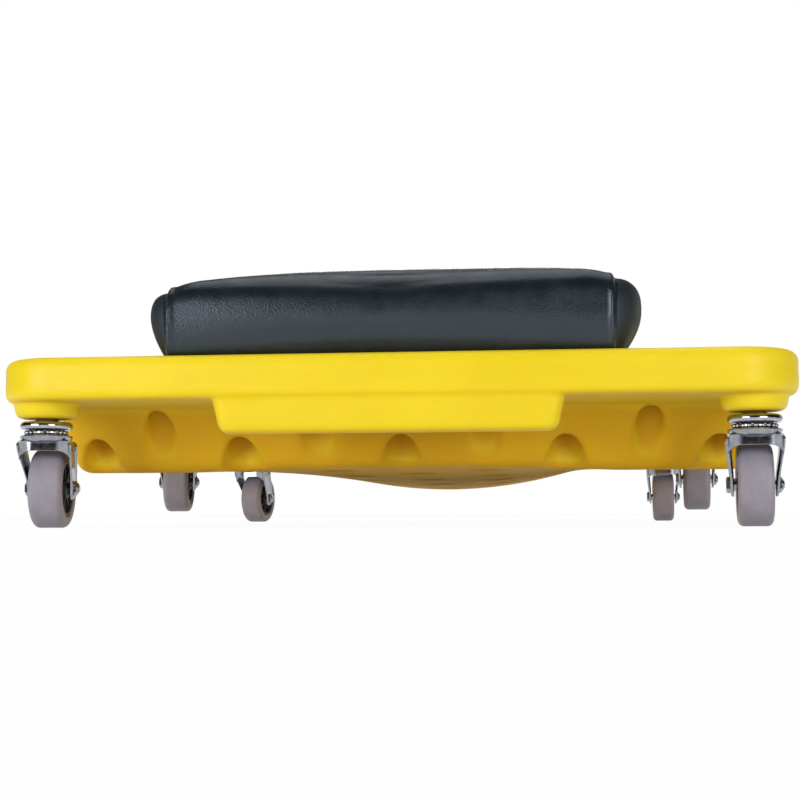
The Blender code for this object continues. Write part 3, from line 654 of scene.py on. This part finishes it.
def leg_rows():
    """(x, z, front y, back y, flange share) of a leg's rows, from under the crown to the foot of its eye."""
    bend_x = shoulder_x - shoulder_bend
    rows = [(x, leg_top, leg_front, leg_back, 0.0) for x in (tab_x, bend_x)]
    for step in range(1, shoulder_steps + 1):
        share = step / shoulder_steps
        a = math.pi / 2 * share
        x = bend_x + shoulder_bend * math.sin(a)
        z = leg_top - shoulder_bend * (1 - math.cos(a))
        rows.append((x, z, leg_front, leg_back, share))
    leg_start = leg_top - shoulder_bend
    for step in range(1, leg_steps + 1):
        share = step / leg_steps
        eased = share * share * (3 - 2 * share)
        lean = (share + eased) / 2
        x = blend(shoulder_x, leg_x, eased)
        z = blend(leg_start, -axle_drop, share)
        front = blend(leg_front, trail - eye_radius, lean)
        back = blend(leg_back, trail + eye_radius, lean)
        rows.append((x, z, front, back, blend(1.0, flange_at_eye, share)))
    for step in range(1, eye_steps + 1):
        share = step / eye_steps
        a = eye_sweep * share
        z = -axle_drop - eye_radius * math.sin(a)
        half = eye_radius * math.cos(a)
        rows.append((leg_x, z, trail - half, trail + half, flange_at_eye * (1 - share)))
    return rows


def leg_mesh(side):
    bm = bmesh.new()
    grid = []
    for x, z, front, back, share in leg_rows():
        row = []
        for column in leg_columns:
            rolled = max(0.0, abs(column - 0.5) / 0.5 - flange_from) / (1 - flange_from)
            out = x + flange * share * rolled ** 2
            row.append(bm.verts.new((side * out, blend(front, back, column), z)))
        grid.append(row)
    for upper, lower in zip(grid, grid[1:]):
        for column in range(len(leg_columns) - 1):
            corners = (upper[column], lower[column], lower[column + 1], upper[column + 1])
            bm.faces.new(corners if side > 0 else corners[::-1])
    return finished_mesh("fork_leg", bm, 180)


def apron_mesh():
    """The front of the crown, turned down between the legs and cut to an arch over the wheel."""
    bm = bmesh.new()
    columns = []
    for step in range(apron_steps + 1):
        share = blend(-1, 1, step / apron_steps)
        x = apron_half_width * share
        y = leg_front - apron_bow * (1 - share ** 2)
        corner = share ** apron_corner_power
        upper = bm.verts.new((x, y, leg_top))
        lower = bm.verts.new((x, y + apron_lean * corner, apron_bottom - apron_arch * corner))
        columns.append((upper, lower))
    for (upper, lower), (next_upper, next_lower) in zip(columns, columns[1:]):
        bm.faces.new((upper, lower, next_lower, next_upper))
    return finished_mesh("fork_apron", bm, 180)


def settled(mesh, *modifiers):
    """The mesh that a row of modifiers makes of a mesh."""
    holder = bpy.data.objects.new(mesh.name, mesh)
    bpy.context.scene.collection.objects.link(holder)
    for kind, settings in modifiers:
        modifier = holder.modifiers.new(kind, kind)
        for name, value in settings.items():
            setattr(modifier, name, value)
    made = bpy.data.meshes.new_from_object(holder.evaluated_get(bpy.context.evaluated_depsgraph_get()))
    bpy.data.objects.remove(holder)
    return made


dish_profile = [(dish_bore, dish_top - dish_depth)]
dish_profile += [(blend(dish_base, race_radius, r), dish_top + dish_depth * z)
                 for r, z in arc(0, 0, 1, -90, 0, 10)]
dish_profile += [(race_radius - dish_lip, crown_top), (lower_groove_brim, crown_top)]
dish_profile += arc(ball_circle, crown_top + lower_groove_rise, lower_groove, -40, -140, 6)
dish_profile += [(dish_bore, crown_top)]
bm = bmesh.new()
bm.from_mesh(turned("fork_dish", dish_profile, closed=True))
for sheet in (leg_mesh(-1), leg_mesh(1), apron_mesh()):
    bm.from_mesh(settled(sheet, ("SOLIDIFY", {"thickness": fork_plate, "offset": 0}),
                         ("BEVEL", {"width": fork_edge, "segments": 2, "limit_method": "ANGLE"})))
fit_casters("yoke", "fork", finished_mesh("caster_fork_shape", bm, 20), bright_zinc,
            lambda caster: f"{caster}_swivel", swivel_frame)


# Caster axle bushes
# A plain steel tube in the hub that the bolt clamps between the fork's legs, so that the wheel runs free.
# Its shape is the CAD one.
for caster in casters:
    bush = frame["nodes"][f"{caster}_axle_bush"]
    bush.data.materials.clear()
    bush.data.materials.append(plain_steel)


# Caster axle bolts
# A hexagon bolt through both legs and the bush, with a round washer face under its head.
# Zinc plated, with the corners of the head turned off.
hex_flats = 0.013
hex_height = 0.004
hex_cut = 0.0011
hex_cut_share = 0.86
bolt_radius = 0.004
bolt_reach = 0.001
bolt_tip = 0.0008
bolt_tip_inset = 0.0007
washer_radius = 0.0062
washer_thickness = 0.0005
washer_lap = 0.0001
clamp = 0.0214


def hexagon_profile(low, high, chamfered_end):
    """(radius, place) along a hexagon whose corners are turned off at one end."""
    radius = hex_flats / math.sqrt(3)
    if chamfered_end == "low":
        return [(radius * hex_cut_share, low), (radius, low + hex_cut), (radius, high)]
    return [(radius, low), (radius, high - hex_cut), (radius * hex_cut_share, high)]


head_end = -clamp - hex_height
head_face = -clamp - washer_thickness
head_profile = [(0, head_end)] + hexagon_profile(head_end, head_face, "low") + [(0, head_face)]
shank_profile = [(0, head_face - washer_lap), (washer_radius, head_face - washer_lap)]
shank_profile += [(washer_radius, -clamp), (bolt_radius, -clamp)]
shank_end = clamp + hex_height + bolt_reach
shank_profile += [(bolt_radius, shank_end - bolt_tip), (bolt_radius - bolt_tip_inset, shank_end)]
shank_profile += [(0, shank_end)]
bm = bmesh.new()
bm.from_mesh(turned("bolt_head", head_profile, 6, sharp_deg=20))
bm.from_mesh(turned("bolt_shank", shank_profile, 24))
bolt = along_axle(finished_mesh("caster_bolt", bm, 25))
fit_casters("bolt", "axle_bolt", bolt, bright_zinc,
            lambda caster: f"{caster}_swivel", axle_frame)


# Caster axle nuts
# A hexagon lock nut on the other end of the bolt, with a collar that grips the thread.
# Zinc plated like the bolt.
nut_bore = bolt_radius + seat_gap
nut_low = clamp + 0.0004
nut_high = clamp + hex_height - 0.0012
collar_top = clamp + hex_height
collar_radius = 0.0056
collar_round = 0.0010
nut_profile = hexagon_profile(nut_low, nut_high, "high") + [(nut_bore, nut_high), (nut_bore, nut_low)]
collar_profile = [(nut_bore, clamp), (washer_radius, clamp), (washer_radius, clamp + washer_thickness)]
collar_profile += [(collar_radius, clamp + washer_thickness + washer_lap)]
collar_profile += arc(collar_radius - collar_round, collar_top - collar_round, collar_round, 0, 90, 4)
collar_profile += [(nut_bore, collar_top)]
bm = bmesh.new()
bm.from_mesh(turned("nut_body", nut_profile, 6, closed=True, sharp_deg=20))
bm.from_mesh(turned("nut_collar", collar_profile, 24, closed=True))
nut = along_axle(finished_mesh("caster_nut", bm, 25))
fit_casters("lock_nut", "axle_nut", nut, bright_zinc,
            lambda caster: f"{caster}_swivel", axle_frame)


# Caster hubs
# An injection moulded wheel centre in black plastic, with a thin web and ribs between its boss and its rim.
# It turns on the bush.
wheel_radius = 0.0381
tread_thickness = 0.0105
hub_radius = wheel_radius - tread_thickness - seat_gap
hub_half = 0.015
hub_edge = 0.0008
hub_rim = 0.0032
hub_rim_fall = 0.0004
hub_rim_inner = hub_radius - hub_rim
web_half = 0.006
web_round = 0.002
hub_boss = 0.0105
hub_boss_foot = 0.0015
hub_boss_edge = 0.0006
hub_bore = 0.0063
rib_count = 8
rib_half = 0.0010
rib_height = 0.0068
rib_rise = 0.0030
rib_lap = 0.0012


def hub_plastic():
    """Black moulded plastic with a fine spark texture and grey dust."""
    finish, tree, shader = new_finish("hub_plastic")
    where = add_node(tree, "ShaderNodeTexCoord").outputs["Object"]
    dust = remap(tree, noise(tree, where, 120.0, 5.0), 0.5, 0.75, 0.0, 0.5)
    colour = mix_colour(tree, dust, (0.022, 0.022, 0.025, 1), (0.10, 0.095, 0.09, 1))
    tree.links.new(colour, shader.inputs["Base Color"])
    rough = remap(tree, noise(tree, where, 500.0, 3.0), 0.3, 0.7, 0.38, 0.55)
    tree.links.new(rough, shader.inputs["Roughness"])
    tree.links.new(bump(tree, noise(tree, where, 1800.0, 2.0), 0.0001, 0.4), shader.inputs["Normal"])
    return finish


hub_face = [(hub_radius, hub_half - hub_edge), (hub_radius - hub_edge, hub_half)]
hub_face += [(hub_rim_inner, hub_half - hub_rim_fall)]
hub_face += [(hub_rim_inner - hub_edge, web_half + web_round / 2), (hub_rim_inner - web_round, web_half)]
hub_face += [(hub_boss + hub_boss_foot, web_half), (hub_boss, web_half + hub_boss_foot)]
hub_face += [(hub_boss - hub_boss_edge, hub_half - hub_boss_edge), (hub_boss - 2 * hub_boss_edge, hub_half)]
hub_face += [(hub_bore, hub_half)]
hub_profile = [(r, -z) for r, z in reversed(hub_face)] + hub_face
bm = bmesh.new()
bm.from_mesh(turned("hub_body", hub_profile, closed=True))
rib_size = Matrix.Diagonal((hub_rim_inner - hub_boss + rib_lap, 2 * rib_half, rib_height, 1))
for rib in range(rib_count):
    turn = Matrix.Rotation(2 * math.pi * rib / rib_count, 4, "Z")
    for face in (-1, 1):
        middle = Vector(((hub_boss + hub_rim_inner) / 2, 0, face * (web_half + rib_rise)))
        bmesh.ops.create_cube(bm, size=1, matrix=turn @ Matrix.Translation(middle) @ rib_size)
hub = along_axle(finished_mesh("caster_hub_shape", bm))
fit_casters("wheel_centre", "hub", hub, hub_plastic(),
            lambda caster: f"{caster}_wheel", axle_frame)


# Caster treads
# A solid grey rubber tyre moulded onto the hub, with a flat face and round shoulders.
# The floor leaves it dusty and a little scuffed.
tread_half = 0.016
tread_round = 0.0058
tread_chamfer = 0.0012
tread_side = 0.0020
tread_flat_half = 0.0050


def grey_rubber():
    """Grey rubber: mottled with dust, scuffed along the way it rolls, with a fine matt grain."""
    finish, tree, shader = new_finish("grey_rubber")
    where = add_node(tree, "ShaderNodeTexCoord").outputs["Object"]
    cloud = noise(tree, where, 70.0, 5.0)
    colour = mix_colour(tree, remap(tree, cloud, 0.3, 0.72, 0.0, 1.0),
                        (0.280, 0.255, 0.300, 1), (0.350, 0.318, 0.372, 1))
    scuff_place = add_node(tree, "ShaderNodeMapping", {"Vector": where, "Scale": (240.0, 60.0, 60.0)})
    scuff = remap(tree, noise(tree, scuff_place.outputs["Vector"], 1.0, 4.0), 0.55, 0.75, 0.0, 0.22)
    colour = mix_colour(tree, scuff, colour, (0.20, 0.19, 0.22, 1))
    tree.links.new(colour, shader.inputs["Base Color"])
    tree.links.new(remap(tree, cloud, 0.3, 0.7, 0.42, 0.60), shader.inputs["Roughness"])
    soft = bump(tree, noise(tree, where, 180.0, 3.0), 0.0004, 0.2)
    tree.links.new(bump(tree, noise(tree, where, 1500.0, 2.0), 0.0001, 0.4, soft), shader.inputs["Normal"])
    return finish


tread_inner = wheel_radius - tread_thickness
tread_edge = [(tread_inner, tread_half - tread_chamfer), (tread_inner + tread_chamfer, tread_half)]
tread_edge += [(wheel_radius - tread_round - tread_side, tread_half)]
tread_edge += arc(wheel_radius - tread_round, tread_half - tread_round, tread_round, 90, 0, 8)
tread_edge += [(wheel_radius, tread_flat_half)]
tread_profile = [(r, -z) for r, z in tread_edge] + [(r, z) for r, z in reversed(tread_edge)]
tread = along_axle(turned("caster_tread_shape", tread_profile, 72, closed=True))
fit_casters("tyre", "tread", tread, grey_rubber(),
            lambda caster: f"{caster}_wheel", axle_frame)


# Headrest board
# A small plywood board under the foam, which the cover is pulled round and stapled to.
# It lies on the deck and takes the screws. Its shape is the CAD one.
def plywood():
    """Birch plywood: long grain on the faces and the dark glue lines of its layers on the edges."""
    finish, tree, shader = new_finish("plywood")
    where = add_node(tree, "ShaderNodeTexCoord").outputs["Object"]
    grain_place = add_node(tree, "ShaderNodeMapping", {"Vector": where, "Scale": (7.0, 120.0, 60.0)})
    grain = noise(tree, grain_place.outputs["Vector"], 1.0, 6.0, 0.65)
    height = add_node(tree, "ShaderNodeSeparateXYZ", {"Vector": where}).outputs["Z"]
    layer = sums(tree, "PINGPONG", height, 0.0015)
    glue = remap(tree, layer, 0.0, 0.0003, 0.6, 0.0)
    colour = mix_colour(tree, remap(tree, grain, 0.3, 0.7, 0.0, 1.0),
                        (0.52, 0.36, 0.19, 1), (0.66, 0.49, 0.29, 1))
    tree.links.new(mix_colour(tree, glue, colour, (0.20, 0.11, 0.05, 1)), shader.inputs["Base Color"])
    tree.links.new(remap(tree, grain, 0.3, 0.7, 0.55, 0.75), shader.inputs["Roughness"])
    tree.links.new(bump(tree, grain, 0.0003, 0.4), shader.inputs["Normal"])
    return finish


board = frame["nodes"]["headrest_board"]
board.data.materials.clear()
board.data.materials.append(plywood())


# Headrest screws
# Four zinc plated pan head screws, driven up through the tips of four of the deck's cones into the board.
# Their shape is the CAD one.
for number in range(1, 5):
    screw = frame["nodes"][f"headrest_screw_{number}"]
    screw.data.materials.clear()
    screw.data.materials.append(bright_zinc)


# Headrest cushion
# A wedge of foam under black vinyl: one panel wraps the front, the top and the back, and a bulging panel
# is sewn on at each end. The cover is pulled down tight round the board.
pad_low, pad_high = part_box("headrest_cushion")
pad_middle = (pad_low.y + pad_high.y) / 2
pad_half_length = (pad_high.y - pad_low.y) / 2
pad_bottom = pad_low.z + 0.0002
pad_slack = 0.003
pad_crown = 0.0800
pad_fall = 0.0079
pad_camber = 0.0085
pad_corner = 0.024
pad_bottom_edge = 0.004
soft_left_from = 0.05
soft_left_run = 0.15
soft_left_drop = 0.005
seam_x = pad_high.x - 0.0230
seam_corner = 0.005
seam_fillet = 0.0015
seam_ridge = 0.0016
seam_ridge_width = 0.0030
end_inset = 0.0022
end_bulge = 0.0285
end_rise = 0.044
end_foot = 0.0085
end_corner = 0.020
end_drop = 0.0085
end_drop_run = 0.030
tuck = 0.0072
tuck_height = 0.037931
waist = 0.004
waist_height = 0.055


def pad_top(x, y):
    """Height of the top: a low crown across, a fall to the back, and softer foam at the left."""
    across = (y - pad_middle) / pad_half_length
    crown = pad_crown - pad_fall * across - pad_camber * across ** 2
    soft_left = np.clip((-x - soft_left_from) / soft_left_run, 0, 1)
    ends = np.clip((np.abs(x) - seam_x + end_drop_run) / end_drop_run, 0, 1)
    return pad_bottom + crown - soft_left_drop * soft_left ** 2 - end_drop * ends ** 2


def pad_wall(x, y, z, inset):
    """The front, the back and the top of the pad, drawn in towards the board and most so in the middle."""
    height = z - pad_bottom
    drawn = tuck * (1 - np.sin(math.pi / 2 * np.clip(height / tuck_height, 0, 1)))
    from_seams = np.cos(math.pi / 2 * np.clip(x / seam_x, -1, 1))
    pinch = waist * from_seams * np.clip(1 - height / waist_height, 0, 1)
    sides = np.abs(y - pad_middle) - pad_half_length + inset + drawn + pinch
    return soft_max(sides, z - pad_top(x, y) + inset, pad_corner)


def pad_field(x, y, z):
    """The wrapped panel, with a ridge where it turns in at its seams, and the two end panels."""
    reach = np.abs(x)
    ridge = seam_ridge * np.exp(-((reach - seam_x + seam_ridge_width) / seam_ridge_width) ** 2)
    wrap = soft_max(pad_wall(x, y, z, pad_slack - ridge), reach - seam_x, seam_corner)
    across = (y - pad_middle) / pad_half_length
    bulge = end_bulge * np.sqrt(np.maximum(0, 1 - across ** 2))
    bulge = bulge * np.sin(math.pi / 2 * np.clip((z - pad_bottom + end_foot) / (end_rise + end_foot), 0, 1))
    end = soft_max(pad_wall(x, y, z, pad_slack + end_inset), reach - seam_x - bulge, end_corner)
    return soft_max(soft_min(wrap, end, seam_fillet), pad_bottom - z, pad_bottom_edge)


def black_vinyl():
    """Bluish black upholstery vinyl: pebbled leather grain, soft creases at the seams, a low sheen, and edges
    lightened partly by wear and partly by a painted highlight.
    """
    finish, tree, shader = new_finish("black_vinyl")
    where = add_node(tree, "ShaderNodeTexCoord").outputs["Object"]
    edge = add_node(tree, "ShaderNodeNewGeometry").outputs["Pointiness"]
    cloud = noise(tree, where, 25.0, 4.0)
    colour = mix_colour(tree, remap(tree, cloud, 0.3, 0.7, 0.0, 1.0),
                        (0.0045, 0.0080, 0.0100, 1), (0.0075, 0.0115, 0.0145, 1))
    # The edges and the seam ridges are lighter: partly rubbed wear, partly a painted highlight along the
    # seams.
    rubbed = sums(tree, "MULTIPLY", remap(tree, edge, 0.51, 0.55, 0.0, 0.5), noise(tree, where, 90.0, 4.0))
    tree.links.new(mix_colour(tree, rubbed, colour, (0.07, 0.078, 0.092, 1)), shader.inputs["Base Color"])
    place = add_node(tree, "ShaderNodeSeparateXYZ", {"Vector": where}).outputs
    reach = add_node(tree, "ShaderNodeMath", {0: place["X"]}, operation="ABSOLUTE").outputs[0]
    rough = sums(tree, "ADD", remap(tree, noise(tree, where, 60.0, 3.0), 0.3, 0.7, 0.30, 0.41),
                 remap(tree, reach, seam_x, seam_x + 0.004, 0.0, 0.28))
    tree.links.new(rough, shader.inputs["Roughness"])
    pebbles = add_node(tree, "ShaderNodeTexVoronoi", {"Vector": where, "Scale": 620.0}, feature="SMOOTH_F1")
    creases = bump(tree, noise(tree, where, 42.0, 3.0), 0.002, 0.05)
    grain = bump(tree, pebbles.outputs["Distance"], 0.0004, 0.35, creases)
    tree.links.new(grain, shader.inputs["Normal"])
    shader.inputs["Specular IOR Level"].default_value = 0.80
    shader.inputs["Specular Tint"].default_value = (0.74, 0.86, 1.0, 1)
    return finish


cover_pressure = 4.0
cover_stiffness = 12.0
cover_frames = 20
cover_swell = 0.0035
cover_smoothing = 16
staple_height = 0.008
seam_half_width = 0.0028


def held_down(points):
    """Which points of the cover don't move: those stapled round the board and those along the seams."""
    along_seam = np.abs(np.abs(points[:, 0]) - seam_x) < seam_half_width
    return (points[:, 2] < pad_bottom + staple_height) | along_seam


def stuffed(mesh):
    """The pad's mesh after its cover has been blown up from inside and held at its seams and its board."""
    holder = bpy.data.objects.new("pad_cloth", mesh)
    bpy.context.scene.collection.objects.link(holder)
    start = np.array([vert.co for vert in mesh.vertices])
    group = holder.vertex_groups.new(name="held")
    group.add([int(i) for i in np.flatnonzero(held_down(start))], 1.0, "REPLACE")
    cloth = holder.modifiers.new("cloth", "CLOTH")
    cloth.settings.use_pressure = True
    cloth.settings.uniform_pressure_force = cover_pressure
    cloth.settings.tension_stiffness = cover_stiffness
    cloth.settings.compression_stiffness = cover_stiffness
    cloth.settings.vertex_group_mass = "held"
    cloth.settings.effector_weights.gravity = 0
    cloth.collision_settings.use_collision = False
    scene = bpy.context.scene
    for step in range(1, cover_frames + 1):
        scene.frame_set(step)
    moved = holder.evaluated_get(bpy.context.evaluated_depsgraph_get()).to_mesh()
    shift = np.array([vert.co for vert in moved.vertices]) - start
    ends = np.array([edge.vertices for edge in mesh.edges])
    around = np.maximum(np.bincount(ends.ravel(), minlength=len(start)), 1)[:, None]
    for _ in range(cover_smoothing):
        total = np.zeros_like(shift)
        np.add.at(total, ends[:, 0], shift[ends[:, 1]])
        np.add.at(total, ends[:, 1], shift[ends[:, 0]])
        shift = (shift + total / around) / 2
    length = np.maximum(np.linalg.norm(shift, axis=1), 1e-9)
    place = start + shift * np.minimum(1, cover_swell / length)[:, None]
    place[:, 2] = np.maximum(place[:, 2], pad_bottom)
    scene.frame_set(1)
    bpy.data.objects.remove(holder)
    mesh.vertices.foreach_set("co", place.ravel())
    return mesh


pad_step = 0.005
end_step = 0.002
depth_step = 0.004
height_step = 0.0042
pad_spare = 0.010
end_from = seam_x - 0.012
end_xs = np.arange(end_from, pad_high.x + spare, end_step)
middle_xs = np.arange(-end_from + pad_step, end_from - end_step / 4, pad_step)
pad_xs = np.concatenate([-end_xs[::-1], middle_xs, end_xs])
pad_ys = np.arange(pad_low.y - pad_spare, pad_high.y + pad_spare, depth_step)
pad_zs = np.arange(pad_low.z - pad_spare, pad_high.z + pad_spare, height_step)
pad_mesh = skin("headrest_cover", pad_field, pad_xs, pad_ys, pad_zs)
pad_mesh = stuffed(pad_mesh)
cushion = put("headrest_cover", pad_mesh, black_vinyl())
cushion.modifiers.new("fine", "SUBSURF").levels = 1
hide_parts("headrest_cushion")
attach(cushion, "deck")


# Studio
# A plain white floor and a white background, with soft light from both sides in front, above and behind.
# The camera stands almost on the floor in front of the head end, as in the photograph.
def studio_white(name, shade_share):
    """White to the camera and in mirrors, with a share of the real shading so that shadows stay."""
    finish, tree, shader = new_finish(name)
    path = add_node(tree, "ShaderNodeLightPath").outputs
    shader.inputs["Base Color"].default_value = (0.88, 0.88, 0.88, 1)
    shader.inputs["Roughness"].default_value = 0.9
    seen = sums(tree, "MAXIMUM", path["Is Camera Ray"], path["Is Glossy Ray"])
    seen = sums(tree, "MAXIMUM", seen, path["Is Transmission Ray"])
    share = sums(tree, "MULTIPLY", seen, 1 - shade_share)
    glow = add_node(tree, "ShaderNodeEmission", {"Color": (1, 1, 1, 1), "Strength": 1.0})
    mixed = add_node(tree, "ShaderNodeMixShader", {0: share, 1: shader.outputs[0], 2: glow.outputs[0]})
    tree.links.new(mixed.outputs[0], tree.nodes["Material Output"].inputs["Surface"])
    return finish


floor_mesh = bpy.data.meshes.new("floor")
floor_half = 30.0
floor_corners = [(x * floor_half, y * floor_half, 0) for x, y in ((-1, -1), (1, -1), (1, 1), (-1, 1))]
floor_mesh.from_pydata(floor_corners, [], [(0, 1, 2, 3)])
floor = put("floor", floor_mesh, studio_white("white_floor", 0.035))

world = bpy.data.worlds.new("studio")
bpy.context.scene.world = world
world.use_nodes = True
sky = world.node_tree
sky_path = add_node(sky, "ShaderNodeLightPath").outputs
sky_way = add_node(sky, "ShaderNodeTexCoord").outputs["Generated"]
sky_axes = add_node(sky, "ShaderNodeSeparateXYZ", {"Vector": sky_way}).outputs
sky_back = remap(sky, sky_axes["Y"], 0.35, 0.90, 0.03, 0.75)
sky_low = remap(sky, sky_axes["Z"], 0.25, 0.60, 1.0, 0.15)
sky_gloss = sums(sky, "MULTIPLY", sky_path["Is Glossy Ray"], sums(sky, "MULTIPLY", sky_back, sky_low))
sky_seen = sums(sky, "MAXIMUM", sky_path["Is Camera Ray"], sky_path["Is Transmission Ray"])
sky_seen = sums(sky, "MAXIMUM", sky_seen, sky_gloss)
sky_light = mix_colour(sky, sky_path["Is Glossy Ray"], (0.38, 0.39, 0.41, 1), (0, 0, 0, 1))
sky_colour = mix_colour(sky, sky_seen, sky_light, (1, 1, 1, 1))
sky.links.new(sky_colour, sky.nodes["Background"].inputs["Color"])


def softbox(name, place, aim, size, power):
    lamp = bpy.data.lights.new(name, "AREA")
    lamp.shape = "RECTANGLE"
    lamp.size, lamp.size_y = size
    lamp.energy = power
    holder = bpy.data.objects.new(name, lamp)
    bpy.context.scene.collection.objects.link(holder)
    holder.location = place
    holder.rotation_euler = (Vector(aim) - Vector(place)).to_track_quat("-Z", "Y").to_euler()


softbox("key_left", (-1.6, -2.4, 0.45), (0, -0.4, 0.1), (1.4, 0.8), 27)
softbox("fill_right", (1.5, -2.5, 0.42), (0, -0.4, 0.1), (1.2, 0.8), 18.3)
softbox("top", (0, 0.1, 2.4), (0, 0.1, 0), (2.2, 2.2), 20)
softbox("back", (0, 2.5, 1.2), (0, 0.3, 0.1), (1.2, 1.2), 26)

camera_place = Vector((0.1383, -1.6662, 0.0128))
camera_turn_left = math.radians(6.111)
camera_tilt_up = math.radians(4.949)
camera_roll = math.radians(-0.186)
picture_width_px = 800
focal_px = 1310.4
lens = bpy.data.cameras.new("camera")
lens.sensor_fit = "HORIZONTAL"
lens.sensor_width = 36
lens.lens = focal_px / picture_width_px * lens.sensor_width
lens.clip_start = 0.01
camera = bpy.data.objects.new("camera", lens)
bpy.context.scene.collection.objects.link(camera)
camera.matrix_world = (Matrix.Translation(camera_place) @ Matrix.Rotation(camera_turn_left, 4, "Z")
                       @ Matrix.Rotation(math.pi / 2 + camera_tilt_up, 4, "X")
                       @ Matrix.Rotation(camera_roll, 4, "Z"))
bpy.context.scene.camera = camera
bpy.context.scene.view_settings.view_transform = "Standard"
